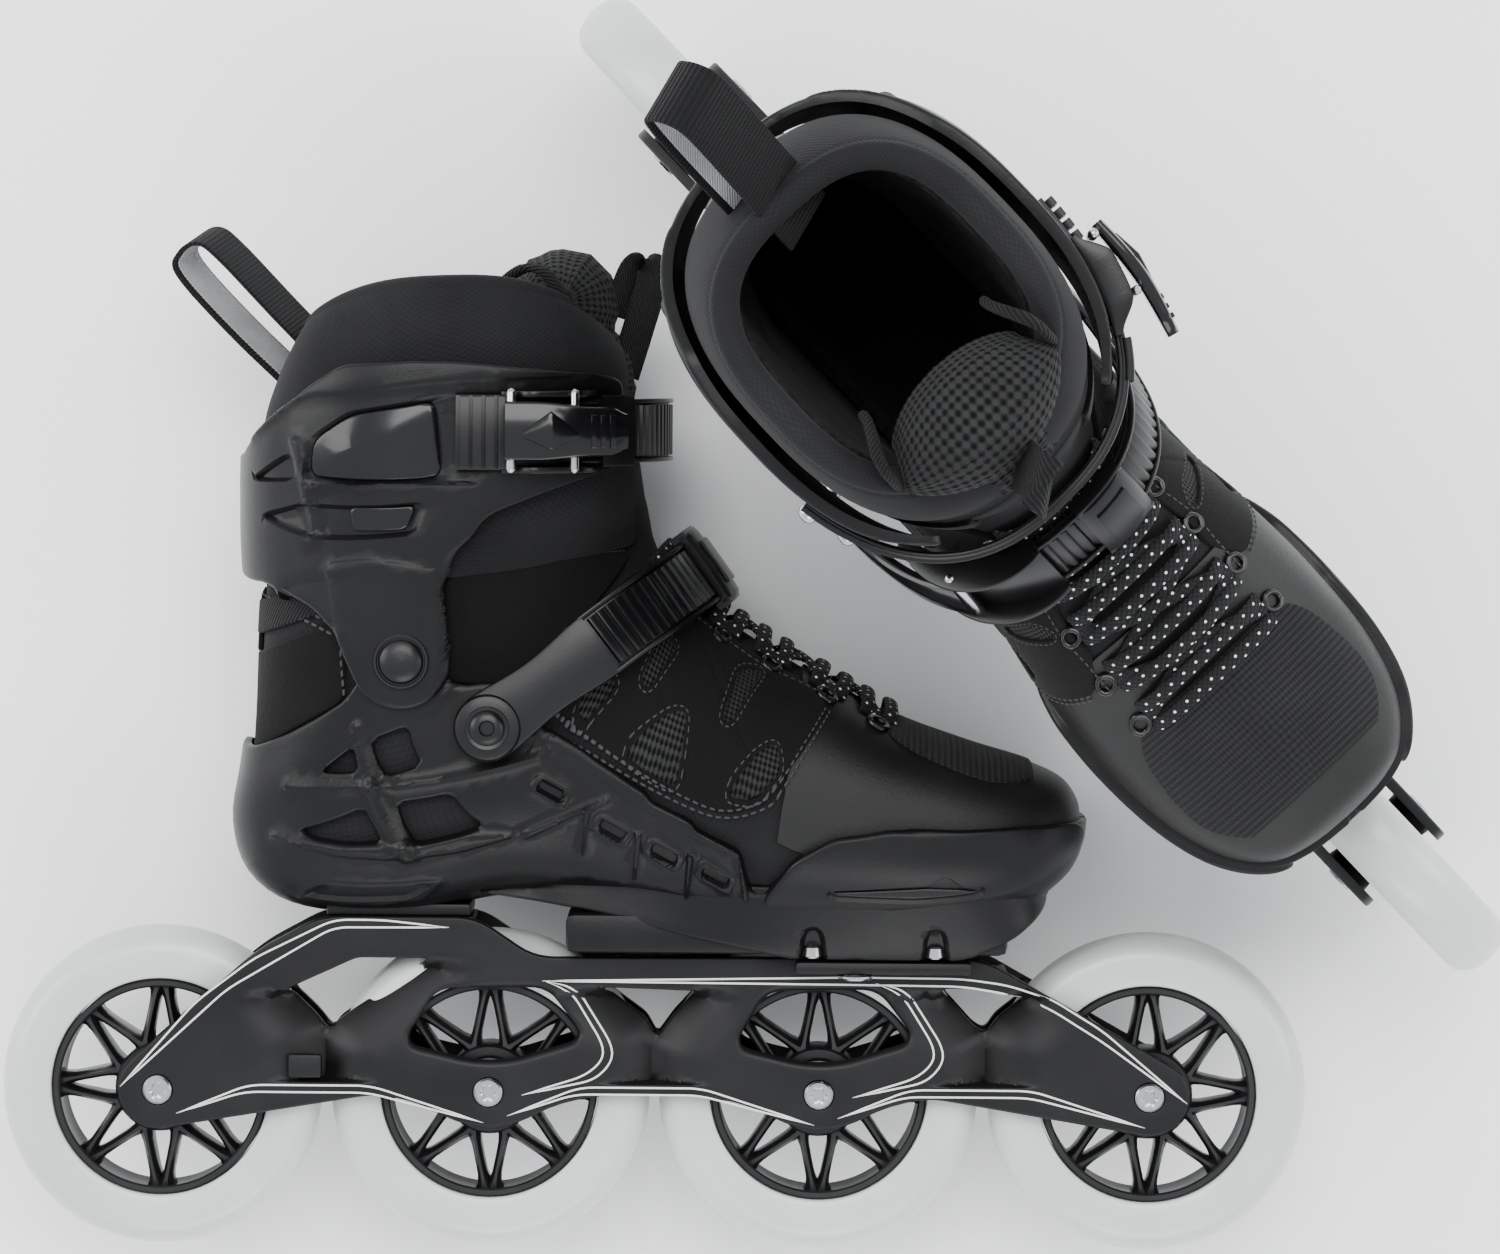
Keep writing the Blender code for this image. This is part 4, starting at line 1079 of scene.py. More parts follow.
def skirt(side):
    """The wall between sole and front mount: y goes from the skin's width down to the mount's, as a soft
    curve."""
    outline = [(-62, 124), (-19.2, 117.6), (15.3, 109.3), (46.5, 102.7), (105.1, 102.4), (122.3, 110.2)]
    outline += [(132.6, 118.9), (137, 128), (110, 130), (36, 128), (-20, 131)]
    reliefs = []
    for x in MOUNT_BOLTS:
        half_bell = np.array([(4.4, 101), (3.4, 110), (2, 113.5)])
        bell = np.concatenate([half_bell * (-1, 1), half_bell[::-1]]) + (x, 0)
        reliefs.append((round_corners(bell, 1.5), -3.4, 0.9))
    points, triangles, fall = net([round_corners(outline, 5)], [1.2], 2.6, 1.4, reliefs)
    top_t, top_angle = find(points[:, 0], np.full(len(points), 128.0))
    top = np.abs(skin(top_t, -top_angle, 0.6)[:, 1])
    rise = np.clip((points[:, 1] - 102) / 24, 0, 1) ** 0.75
    wide = MOUNT_HALF + (top - MOUNT_HALF) * rise
    face = np.stack([points[:, 0], side * (wide - fall + raised(points, reliefs)), points[:, 1]], axis=-1)
    back = np.stack([points[:, 0], side * (wide - 5.2), points[:, 1]], axis=-1)
    return thicken(face, back, triangles if side < 0 else triangles[:, ::-1])


for side, label in SIDES:
    points, faces = skirt(side)
    add_piece(f"mount_skirt_{label}", points, faces, shell_plastic, "skate", "shell_plastic", angle=50)
bolts = []
for side in (-1, 1):
    for x in MOUNT_BOLTS:
        bolts.append(disc((x, side * 29.6, 103.2), 3.0, 0, 4.2, 24, 0.6))
    bolts.append(disc((68.4, side * 26.2, 95.6), 6.0, 0, 2.0, 40, 0.7))
points, faces = joined(bolts)
add_piece("sole_bolts", points, faces, steel, "skate", "polished_steel")
points, faces = joined([slab((-112, -63), (-16, 16), (REAR_TOP + 0.2, REAR_TOP + 4.2), 1.0),
                        slab((-30, 120), (-29, 29), (104, 117.5), 3)])
add_piece("shell_feet", points, faces, shell_plastic, "skate", "shell_plastic")
print("rand, skirt and", len(bolts), "bolts")

# %% [markdown]
# ## The ankle cuff
# The cuff is the second moulding. It wraps the back of the ankle, turns on a big rivet at each side and
# carries the upper buckle. It has a band along its top, two pods let into each side, an upright rib
# behind them, and a raised panel that runs down to the rivet.

# %% Cuff
CUFF_LOW, CUFF_HIGH = 4.3, 7.2
CUFF_EDGE = [(-137.4, 232.5), (-124.9, 228.6), (-113.1, 221.7), (-106.5, 214)]
CUFF_REST = [(-69.6, 213), (-71.6, 229.1), (-67.1, 240.7), (-55.6, 253.4), (-38.4, 260.6), (-17.1, 268.8),
             (-16.7, 296.7), (-20.1, 299), (-44.6, 301.5), (-79.2, 303.6), (-102.4, 301.7), (-113.8, 293.5),
             (-134, 272.5)]
UPPER_POD = [(-114.2, 265), (-113, 277.6), (-101, 286.4), (-73, 291.6), (-71, 265)]
LOWER_POD = [(-128, 252), (-115.6, 256), (-77, 257), (-80.5, 247), (-113.2, 245.5)]


def cuff_outline():
    sides = []
    for side in (-1, 1):
        edge = [*CUFF_EDGE, *arc(CUFF_PIVOT, 16.2, 200, 350, 12), *CUFF_REST]
        sides.append(side_pattern(round_corners(edge, 3.5, closed=False), side))
    ends = pattern(np.array([17.35, 18.68]), np.zeros(2))
    return np.concatenate([ends[:1], sides[0], ends[1:], sides[1][::-1]])


def cuff_reliefs(side):
    shapes = [
        (round_corners(UPPER_POD, 3), -2.0, 0.7),
        (round_corners(LOWER_POD, 2), -2.2, 0.7),
        (round_corners([(-131, 264), (-119.2, 273), (-118, 264.4)], 2), -2.2, 0.6),
        (bar((-117.4, 278.0), (-112.4, 244.0), 3.0, 2.6, 1.0), 1.5, 1.1),
        (bar((-112.5, 262.2), (-60, 263.8), 1.2, 0.8, 0.5), 0.9, 0.4),
        (round_corners([(-133, 274.5), (-114, 291.5), (-103, 292), (-75, 296.3), (-18, 299.4), (-18, 308),
                        (-80, 312), (-110, 308)], 6), 0.9, 1.0),
        (round_corners([(-108.8, 237), (-92, 239), (-77, 236), (-70, 226), (-66, 180), (-104, 180),
                        (-105.5, 217)], 4), 1.0, 0.7),
        (round_corners([(-76, 292), (-76, 267), (-20, 271), (-19, 294)], 3), -1.0, 1.2),
    ]
    return [(side_pattern(outline, side), height, edge) for outline, height, edge in shapes]


skin_plate("cuff", [cuff_outline()], [1.3], CUFF_LOW, CUFF_HIGH, shell_plastic,
           cuff_reliefs(-1) + cuff_reliefs(1), body="cuff_body", slot="shell_plastic", replaces=["cuff"])
for side, label in SIDES:
    pod = side_pattern(round_corners([(x * 0.97 - 2.8, z * 0.96 + 11) for x, z in UPPER_POD], 4), side)
    pane = side_pattern(round_corners([(-101, 255.6), (-80, 256.2), (-83, 248.2), (-100, 247.6)], 1.5), side)
    dome = side_pattern(round_corners([(-108, 270), (-100, 282), (-78, 287), (-76, 270)], 6), side)
    skin_plate(f"cuff_pod_{label}", [pod], [0.8], 5.4, 6.4, gloss_plastic, [(dome, 1.7, 5.0)], spacing=2.0,
               body="cuff_body", slot="strap_plastic")
    skin_plate(f"cuff_pane_{label}", [pane], [0.6], 5.0, 6.6, gloss_plastic, spacing=2.0, body="cuff_body",
               slot="strap_plastic")
print("cuff has", made_pieces["cuff"], "points")


# %% Ankle rivets
def rivet(side):
    """A domed cap with a groove round it, over a washer, on a shank into the shell."""
    t, angle = find(*CUFF_PIVOT)
    start = abs(float(skin(t, side * angle)[1])) + 0.8
    face = start + CUFF_HIGH + 1.0
    profile = [(0, face + 1.7), (3.5, face + 1.55), (6.4, face + 0.9), (7.3, face + 0.2), (7.6, face - 0.6)]
    profile += [(8.0, face - 0.6), (8.3, face + 0.5), (9.1, face + 0.5), (9.4, face - 0.4), (9.4, face - 1.6)]
    profile += [(3.9, face - 1.6), (3.9, start), (0, start)]
    if side < 0:
        profile = [(radius, -y) for radius, y in profile[::-1]]
    return turned(capped(profile), 56, (CUFF_PIVOT[0], 0, CUFF_PIVOT[1]), closed=False)


for side, label in SIDES:
    points, faces = rivet(side)
    add_piece(f"ankle_rivet_{label}", points, faces[:, ::-1], strap_plastic, "skate", "polished_steel",
              replaces=[f"cuff_pivot_{label}"])
print("rivets made")


# %% [markdown]
# ## Cloth
# The boot is sewn from softshell, suede, mesh, twill and webbing. A weave is a small formula in the
# cloth's own length and width: a product of two sines is a plain weave, one sine of the sum is a twill,
# and so on. The same value lifts the surface and scales the colour, which paints a highlight where the
# threads stand high and paints shade where they sink, deepest in the holes of a mesh.


# %% Woven finishes
def weave_height(nodes, links, weave, size):
    """The weave's height, from -1 to 1, as maths nodes on the UVs: sines with one thread to each size in
    mm."""
    uv = nodes.new("ShaderNodeUVMap")
    uv.uv_map = "surface"
    parts = nodes.new("ShaderNodeSeparateXYZ")
    links.new(uv.outputs["UV"], parts.inputs["Vector"])

    def maths(operation, first, second=0.0):
        node = nodes.new("ShaderNodeMath")
        node.operation = operation
        for socket, value in zip(node.inputs, (first, second)):
            if isinstance(value, float):
                socket.default_value = value
            else:
                links.new(value, socket)
        return node.outputs["Value"]

    def wave(along, across):
        turn = 2 * math.pi / (size * MM)
        u = maths("MULTIPLY", parts.outputs["X"], turn * along)
        v = maths("MULTIPLY", parts.outputs["Y"], turn * across)
        return maths("SINE", maths("ADD", u, v))

    if weave == "plain":
        return maths("MULTIPLY", wave(0.5, 0.0), wave(0.0, 0.5))
    if weave == "twill":
        return wave(1.0, 1.0)
    if weave == "rib":
        return maths("MULTIPLY", maths("ADD", wave(1.0, 0.0), maths("MULTIPLY", wave(0.0, 2.0), 0.5)), 0.66)
    if weave == "mesh":
        # The mesh's holes sink well below -1, so the colour scaling paints them near black: painted shade in
        # the holes.
        net_height = maths("MULTIPLY", maths("MULTIPLY", wave(0.5, 0.5), wave(0.5, -0.5)), -2.2)
        return maths("MINIMUM", net_height, 0.6)
    return maths("MULTIPLY", wave(0.35, 0.5), wave(0.8, -0.25))


def cloth(name, colour, weave, size, height, roughness=0.88, painted_weave_shading=0.4, sheen=0.03, grain=((0.5, 0.05),)):
    """A finish whose colour is scaled by 1 plus a share times the weave's height: painted highlight where
    the threads stand high and painted shade where they sink. The weave is also one more bump."""
    material = finish(name, colour, roughness, drift=0.25, grain=grain, uneven=0.06, sheen=sheen, shine=0.12)
    nodes, links = material.node_tree.nodes, material.node_tree.links
    shader = nodes["Principled BSDF"]
    threads = weave_height(nodes, links, weave, size)
    # Painted light: the weave's height scales the colour, a painted highlight on the threads' high points and
    # painted shade in their low points.
    painted_weave_light = nodes.new("ShaderNodeMapRange")
    painted_weave_light.clamp = False
    set_inputs(painted_weave_light, {"From Min": -1, "To Min": 1 - painted_weave_shading, "To Max": 1 + painted_weave_shading})
    links.new(threads, painted_weave_light.inputs["Value"])
    scaled = nodes.new("ShaderNodeVectorMath")
    scaled.operation = "SCALE"
    links.new(shader.inputs["Base Color"].links[0].from_socket, scaled.inputs[0])
    links.new(painted_weave_light.outputs["Result"], scaled.inputs["Scale"])
    links.new(scaled.outputs["Vector"], shader.inputs["Base Color"])
    bump = nodes.new("ShaderNodeBump")
    bump.inputs["Distance"].default_value = height * MM
    links.new(threads, bump.inputs["Height"])
    links.new(shader.inputs["Normal"].links[0].from_socket, bump.inputs["Normal"])
    links.new(bump.outputs["Normal"], shader.inputs["Normal"])
    return material


softshell = cloth("grey_softshell", (0.0105, 0.0105, 0.0112), "plain", 0.9, 0.06, painted_weave_shading=0.18)
lining = cloth("knit_lining", (0.009, 0.009, 0.0095), "knit", 2.4, 0.25, painted_weave_shading=0.35)
suede = cloth("black_suede", (0.0045, 0.0045, 0.0045), "plain", 1.4, 0.02, 0.96, 0.08, 0.04,
              ((0.35, 0.14), (2.5, 0.2)))
spacer_mesh = cloth("spacer_mesh", (0.016, 0.016, 0.0165), "mesh", 1.7, 0.45, 0.8, 0.75)
toe_mesh = cloth("ribbed_toe_mesh", (0.011, 0.011, 0.0115), "rib", 2.2, 0.4, 0.7, 0.6)
tongue_knit = cloth("coarse_tongue_knit", (0.013, 0.013, 0.0135), "mesh", 2.2, 0.5, 0.85, 0.6)
webbing = cloth("ribbed_webbing", (0.006, 0.006, 0.0065), "rib", 1.5, 0.3, 0.8, 0.4)
black_twill = cloth("black_twill", (0.008, 0.008, 0.0085), "twill", 1.6, 0.3, 0.8, 0.5)
grey_twill = cloth("light_grey_twill", (0.30, 0.30, 0.31), "twill", 1.4, 0.15, 0.8, 0.15)
toe_leather = finish("grained_toe_leather", (0.0055, 0.0055, 0.0055), 0.5, shine=0.3,
                     grain=[(0.7, 0.12), (2.2, 0.08)])
thread = finish("stitching_thread", (0.035, 0.035, 0.036), 0.7, grain=[(0.4, 0.05)])
print("cloths:", softshell.name, suede.name, spacer_mesh.name, webbing.name)

# %% [markdown]
# ## The sock of the boot
# The upper is a sock with a wall: its outside follows the skin from the toe to the ankle, its inside
# follows it back ten millimetres further in. The padded shaft above it is a ring of the same kind with a
# rolled top, bulging between its seams. The shaft goes with the cuff.

# %% Upper and shaft
AROUND = 96
UPPER_OUT, LINING_OUT = -0.8, -10.0
SHAFT_LIFT, LIFT_FROM = 12.0, 19.0
BUNCHED = (16.1, 16.9)
round_angles = np.linspace(0, 2 * math.pi, AROUND, endpoint=False)
round_widths = np.linspace(0, 2 * math.pi, AROUND + 1) * PATTERN_RADIUS


def sock(name, t_rows, outs, rise, material, closed, **where):
    """Rings of the skin at t, moved out by outs and up by rise, and lifted at the sides by 12 |sin
    a|^1.5 mm.

    Rows between two close stations are left out, because the skin bunches up there at the heel."""
    spread = (t_rows < BUNCHED[0]) | (t_rows > BUNCHED[1])
    t_rows, outs, rise = t_rows[spread], outs[spread], rise[spread]
    t, angle = np.meshgrid(t_rows, round_angles, indexing="ij")
    points = skin(t, angle, outs[:, None] + np.zeros(t.shape) if outs.ndim == 1 else outs)
    share = smooth_step((t - LIFT_FROM + 1.5) / 2.5)
    points[..., 2] += share * SHAFT_LIFT * np.abs(np.sin(angle)) ** 1.5 + rise[:, None]
    lengths = lengths_along(points[:, AROUND // 4])
    faces = [grid_faces(len(t_rows), AROUND, wrap_rows=closed, wrap_columns=True)]
    uv = [grid_uv(np.append(lengths, lengths[-1] + 2) if closed else lengths, round_widths)]
    if not closed:
        last = (len(t_rows) - 1) * AROUND
        faces += [np.arange(AROUND)[::-1][None], (np.arange(AROUND) + last)[None]]
        uv += [np.zeros((1, AROUND, 2))] * 2
    return add_piece(name, points.reshape(-1, 3), faces, material, uv=uv, angle=60, **where)


down = np.linspace(17.3, 3.0, 60)
up_rows = np.concatenate([np.linspace(0.25, 2, 14), np.linspace(2.2, 17.3, 92)])
upper_t = np.concatenate([up_rows, down])
upper_out = np.concatenate([np.full(len(up_rows), UPPER_OUT), np.full(len(down), LINING_OUT + 1)])
BLEND = ("skate", "cuff_body", (-70, 0, 240), (-72, 0, 275))
sock("upper", upper_t, upper_out, np.zeros(len(upper_t)), softshell, False, slot="boot_textile",
     replaces=["boot"], blend=BLEND)
rise_t = np.linspace(16.92, 20.0, 46)
swell = 1.5 * np.sin(np.clip((rise_t - 18.55) / 1.45, 0, 1) * math.pi) ** 0.6
swell = swell + 0.7 * np.exp(-((rise_t - 17.8) / 0.5) ** 2)
roll = np.linspace(0, math.pi, 13)[1:-1]
fall_t = np.linspace(20.0, 14.0, 60)
fold = 1.6 * np.sin((fall_t - 14) / 6 * math.pi * 5) ** 2
shaft_t = np.concatenate([rise_t, np.full(len(roll), 20.0), fall_t])
shaft_out = np.concatenate([-1.0 + swell, -5.5 + 4.5 * np.cos(roll), LINING_OUT - fold])
shaft_rise = np.concatenate([np.zeros(len(rise_t)), 4.5 * np.sin(roll), np.zeros(len(fall_t))])
for piece in sock("shaft", shaft_t, shaft_out, shaft_rise, softshell, True, slot="collar_textile",
                  replaces=["collar"], body="cuff_body"):
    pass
LINING_ROWS = 50
inside_t = np.linspace(19.6, 15.0, LINING_ROWS)
wave_t, wave_a = np.meshgrid(inside_t, round_angles, indexing="ij")
puckers = 1.3 * np.sin(wave_a * 5 + wave_t * 1.3) ** 2 * np.sin((wave_t - 15) / 4.6 * math.pi)
lining_out = np.concatenate([LINING_OUT - 2.4 - puckers, np.full((LINING_ROWS, AROUND), LINING_OUT)])
lining_t = np.concatenate([inside_t, inside_t[::-1]])
sock("shaft_lining", lining_t, lining_out, np.zeros(len(lining_t)), lining, True,
     slot="collar_textile", body="cuff_body")
print("upper", made_pieces["upper"], "points, shaft", made_pieces["shaft"], "points")

# %% [markdown]
# ## Panels sewn on the upper
# Thin panels lie on the upper: a leather toe cap, a ribbed mesh vamp, a suede quarter with mesh showing
# through its cut-outs, suede and softshell at the ankle, and a suede heel. Each is drawn as it is seen
# from the side, and wraps round the toe or the heel where it belongs to both sides.

# %% Panels
QUARTER = [(-36, 188.5), (-12.1, 169.8), (11, 157), (25.4, 152.8), (39.8, 158.7), (51.2, 176), (58.5, 188.5),
           (48, 197.5), (36, 203.5), (22, 213), (10, 222.5), (1, 235), (-10, 233), (-24, 212)]
QUARTER_WINDOWS = [
    [(-26.6, 188.4), (-18.1, 201.4), (-12.3, 195.7), (-23.7, 182.6)],
    [(-10.7, 172.7), (5, 187.2), (10.8, 187.2), (7.4, 161.3), (0.9, 164.1)],
    [(24, 158.6), (33.9, 173), (41.1, 177.4), (42.6, 167.3), (34, 157.2)],
    [(-5.3, 196.9), (1.8, 212.9), (7.6, 208.6), (-2.3, 194.1)],
    [(22.3, 184.2), (27.9, 201.5), (36.5, 200.5), (25.2, 182.8)],
]
MESH_BACKING = [(-33, 188.5), (-12, 172), (11, 159), (25, 155), (38, 160.5), (49, 176), (54, 188),
                (36, 201), (8, 219.5), (-2, 230), (-22, 208)]
ANKLE_SUEDE = [(-74, 196), (-70, 214), (-71, 232), (-30, 240), (-9, 241), (-12, 234), (-27, 214), (-38, 199)]
ANKLE_PANEL = [(-72, 231), (-68, 243), (-54, 258), (-36, 268), (-11, 274), (-8.5, 255), (-8, 242), (-30, 238)]
HEEL_PANEL = [(-135.0, 226.5), (-136, 172), (-105, 189.5), (-104, 205), (-104.2, 217.5)]
TOE_MESH = [(76.5, 183.8), (80, 178), (90.7, 171.5), (112.6, 163.4), (128, 163.6)]


def over_toe(outline):
    """A loop over the toe: one side's line and, a whole turn on, the other side's line back again."""
    inner, outer = side_pattern(outline, 1), side_pattern(outline, -1)
    return np.concatenate([inner, (outer + (0, 2 * math.pi * PATTERN_RADIUS))[::-1]])


def round_heel(outline):
    """A loop round the heel: the outer side's line and the inner side's back."""
    return np.concatenate([side_pattern(outline, -1), side_pattern(outline, 1)[::-1]])


for side, label in SIDES:
    loops = [side_pattern(round_corners(QUARTER, 4), side)]
    loops += [side_pattern(round_corners(window, 3), side) for window in QUARTER_WINDOWS]
    creases = [(side_pattern(bar(top, foot, 0.8), side), -0.5, 0.7)
               for top, foot in (((11, 219), (38, 160)), ((-8, 226), (12, 162)))]
    skin_plate(f"suede_quarter_{label}", loops, [0.7] + [0.6] * len(QUARTER_WINDOWS), -0.4, 1.3, suede,
               creases, 2.4, woven=True, body="skate", slot="boot_textile")
    for name, outline, edge, low, high, material, where in (
        ("mesh_backing", MESH_BACKING, 0.3, -0.6, 0.1, spacer_mesh, {"body": "skate"}),
        ("ankle_suede", ANKLE_SUEDE, 0.6, -0.4, 0.7, suede, {"blend": BLEND}),
        ("ankle_softshell", ANKLE_PANEL, 0.7, -0.4, 1.3, softshell, {"blend": BLEND}),
    ):
        skin_plate(f"{name}_{label}", [side_pattern(round_corners(outline, 4), side)], [edge], low, high,
                   material, spacing=3, woven=True, slot="boot_textile", **where)
heel_loop = round_heel(round_corners(HEEL_PANEL, 2, closed=False))
strip_loop = pattern(np.array([15.6, 16.03, 16.03, 15.6]), np.radians([-72.0, -72.0, 72.0, 72.0]))
cap_loop = pattern(np.array([0.3, 0.3, 5.0, 6.3, 6.3, 5.0]),
                   np.radians([62.0, 298.0, 298.0, 285.0, 75.0, 62.0]))
toe_loop = over_toe(smooth_line(TOE_MESH, 4))
for name, loop, edge, low, high, material, woven in (
    ("heel_suede", heel_loop, 0.8, -0.4, 1.1, suede, True),
    ("heel_twill_strip", strip_loop, 0.6, -0.4, 1.5, black_twill, True),
    ("toe_cap", cap_loop, 0.5, -0.4, 0.6, toe_leather, False),
    ("toe_mesh_vamp", toe_loop, 0.8, -0.5, 1.5, toe_mesh, True),
):
    skin_plate(name, [loop], [edge], low, high, material, spacing=3, woven=woven, body="skate",
               slot="boot_textile")
print("panels sewn on")

# %% [markdown]
# ## Things that follow a line
# Straps, levers, loops, the tongue and the laces are all a section carried along a line. The frame of
# the line is its direction, a sideways direction that stays level with the strap, and the outward
# direction across both. The section may change from place to place, which gives teeth, tapers and
# crowned pads.


# %% Sections carried along a line
def sweep(path, across, profiles, centre=None):
    """Points path + a side + b up for the pairs (a, b) of each place's profile, with both ends closed.

    side is across made square to the path, up is path direction x side, turned to face away from
    centre."""
    path = np.asarray(path, float)
    run = np.gradient(path, axis=0)
    run /= np.linalg.norm(run, axis=1, keepdims=True)
    side = np.broadcast_to(np.asarray(across, float), run.shape)
    side = side - run * np.sum(side * run, axis=1, keepdims=True)
    side /= np.linalg.norm(side, axis=1, keepdims=True)
    up = np.cross(run, side)
    if centre is not None and np.sum(up * (path - np.asarray(centre, float))) < 0:
        side, up = -side, -up
    profiles = np.broadcast_to(profiles, (len(path),) + np.shape(profiles)[-2:])
    points = path[:, None] + side[:, None] * profiles[..., :1] + up[:, None] * profiles[..., 1:]
    rows, columns = profiles.shape[:2]
    faces = [grid_faces(rows, columns, wrap_columns=True)]
    faces += [np.arange(columns)[::-1][None], (np.arange(columns) + (rows - 1) * columns)[None]]
    loop = np.concatenate([profiles[0], profiles[0][:1]])
    uv = [grid_uv(lengths_along(path), lengths_along(loop))] + [np.zeros((1, columns, 2))] * 2
    return points.reshape(-1, 3), faces, uv


def together(parts):
    """Several (points, faces, uv) as one."""
    points, faces = joined([part[:2] for part in parts])
    return points, faces, [uv for part in parts for uv in part[2]]


def box_section(half, low, high, corner=0.8, crown=0.0, middle=0.0):
    """Sections of a bar: half wide, from low to high, corners rounded by corner, the top crowned by
    crown."""
    values = [np.atleast_1d(np.asarray(v, float)) for v in (half, low, high, crown, middle)]
    half, low, high, crown, middle = np.broadcast_arrays(*values)
    corner = np.minimum(corner, np.minimum(half, (high - low) / 2) * 0.95)
    inner, small = half - corner, half - 0.3 * corner
    a = [-half, -small, -inner, inner, small, half, half, small, inner, 0 * half, -inner, -small, -half]
    b = [low + corner, low + 0.3 * corner, low, low, low + 0.3 * corner, low + corner, high - corner,
         high - 0.3 * corner, high, high + crown, high, high - 0.3 * corner, high - corner]
    return np.stack([np.stack(a, axis=-1) + middle[:, None], np.stack(b, axis=-1)], axis=-1)


def oval_section(half, thick, count=10):
    angle = np.linspace(0, 2 * math.pi, count, endpoint=False)
    return np.stack([half * np.cos(angle), thick * np.sin(angle)], axis=-1)


def front_point(z):
    """The x of the skin's front line at a height."""
    t = np.linspace(4, TOP_STATION, 400)
    values = sections(t)
    return float(np.interp(z, values[:, 3], values[:, 2]))


def strap_line(start, front, side, out, reach=1.0, count=40):
    """Points over the skin on the straight line, as seen from the side, from start towards the front
    line."""
    share = np.linspace(0, 1, count)
    v = 1 - (1 - reach * share) ** 2
    x, z = (start[k] + (front[k] - start[k]) * v for k in (0, 1))
    t, angle = find(x, z)
    return skin(t, side * angle, out)


def cut(path, start, end, step=1.0):
    """The stretch of a path between two lengths along it, with points about step apart."""
    return read_off(path, np.linspace(start, end, max(int((end - start) / step), 2) + 1))


INSIDE = (-60.0, 0.0, 220.0)


def length_of(path):
    return float(np.linalg.norm(np.diff(path, axis=0), axis=1).sum())


def teeth(path, across, start, end, pitch, half, low, high):
    """A row of ratchet teeth: each rises in a fifth of its pitch, stays up for a third and slopes
    down."""
    count = int((end - start) / pitch)
    at = (start + pitch * (np.arange(count)[:, None] + np.array([0.02, 0.22, 0.55, 0.98])[None])).ravel()
    tops = np.tile([low + 0.25, high, high, low + 0.25], count)
    return sweep(read_off(path, at), across, box_section(half, low - 0.6, tops, 0.25), INSIDE)


print("line tools ready")

# %% [markdown]
# ## Tongue, loops and insole
# The tongue is a padded knit plate: thin under the laces, thick above them, and rolled back at its top.
# The heel loop and the front tab are webbing folded over, and the heel loop is lighter on the inside.
# The insole lies on the floor of the sock.

# %% Tongue
front_t = np.linspace(5.0, 19.8, 60)
front_line = skin(front_t, math.pi, -5.0)
top_line = smooth_line([(-22, 0, 319), (-21.5, 0, 327), (-26, 0, 334), (-34, 0, 336),
                        (-43, 0, 332.5), (-48, 0, 327)], 8)
tongue_line = evenly(np.concatenate([front_line, top_line]), 3.0)
share = np.linspace(0, 1, len(tongue_line))
half = 23 + 9 * smooth_step((share - 0.35) / 0.4) - 7 * smooth_step((share - 0.88) / 0.12)
thick = 2.6 + 4.6 * smooth_step((share - 0.55) / 0.25) - 3.0 * smooth_step((share - 0.95) / 0.05)
round_it = np.linspace(0, 2 * math.pi, 36, endpoint=False)
a = half[:, None] * np.sign(np.cos(round_it)) * np.abs(np.cos(round_it)) ** 0.7
b = thick[:, None] * np.sign(np.sin(round_it)) * np.abs(np.sin(round_it)) ** 0.8
ribs = 0.45 * np.sin(share * length_of(tongue_line) / 7.5 * 2 * math.pi)[:, None] * (np.sin(round_it) > 0.2)
tongue_sections = np.stack([a, b + ribs - a**2 / 80], axis=-1)
points, faces, uv = sweep(tongue_line, (0, 1, 0), tongue_sections, (-80, 0, 260))
for piece in add_piece("tongue", points, faces, tongue_knit, uv=uv, slot="collar_textile", angle=60,
                       blend=BLEND):
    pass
BOUND_ROWS = 18
binding_rows, edge_half = tongue_line[-BOUND_ROWS:], half[-BOUND_ROWS:]
loops = []
for way in (-1, 1):
    line = binding_rows + np.stack([0 * edge_half, way * edge_half * 0.97, 0 * edge_half], axis=-1)
    line[:, 0] -= (edge_half * 0.97) ** 2 / 80
    loops.append(sweep(line, (1, 0, 0), oval_section(2.0, 1.6)))
points, faces, uv = together(loops)
add_piece("tongue_binding", points, faces, black_twill, "cuff_body", "collar_textile", uv)

# %% Heel loop, front tab and insole
LOOP_HALF = 10.5
LOOP_TILT = math.radians(-24)


def tilted(points):
    """Points turned by LOOP_TILT about the line from the foot of the heel loop to its tip."""
    foot, axis = np.array([-113.0, 0, 297.0]), np.array([-0.72, 0, 0.69])
    axis = axis / np.linalg.norm(axis)
    away = points - foot
    along = np.sum(away * axis, axis=1, keepdims=True) * axis
    return foot + along + (away - along) * math.cos(LOOP_TILT) + np.cross(axis, away) * math.sin(LOOP_TILT)


loop_outside = smooth_line([(-109, 0, 302), (-128, 0, 321.5), (-147, 0, 341.5), (-154.5, 0, 346.5),
                            (-161, 0, 342.8), (-161.5, 0, 335.5), (-143, 0, 315), (-119, 0, 292.5)], 8)
points, faces, uv = sweep(loop_outside, (0, 1, 0), box_section(LOOP_HALF, -0.2, 1.3, 0.5), (-138, 0, 320))
add_piece("heel_loop", tilted(points), faces, webbing, "cuff_body", "collar_textile", uv)
points, faces, uv = sweep(loop_outside, (0, 1, 0), box_section(LOOP_HALF - 2.2, -0.9, -0.25, 0.25),
                          (-138, 0, 320))
add_piece("heel_loop_lining", tilted(points), faces, grey_twill, "cuff_body", "collar_textile", uv)
tab = smooth_line([(-12.5, 0, 300), (-7, 0, 318), (-2.5, 0, 334), (-4.5, 0, 339.5), (-9, 0, 336),
                   (-14.5, 0, 320)], 8)
points, faces, uv = sweep(tab, (0.6, 0.8, 0), box_section(8.5, -0.5, 0.7, 0.4), (-9, 0, 326))
add_piece("front_tab", points, faces, black_twill, "cuff_body", "collar_textile", uv)


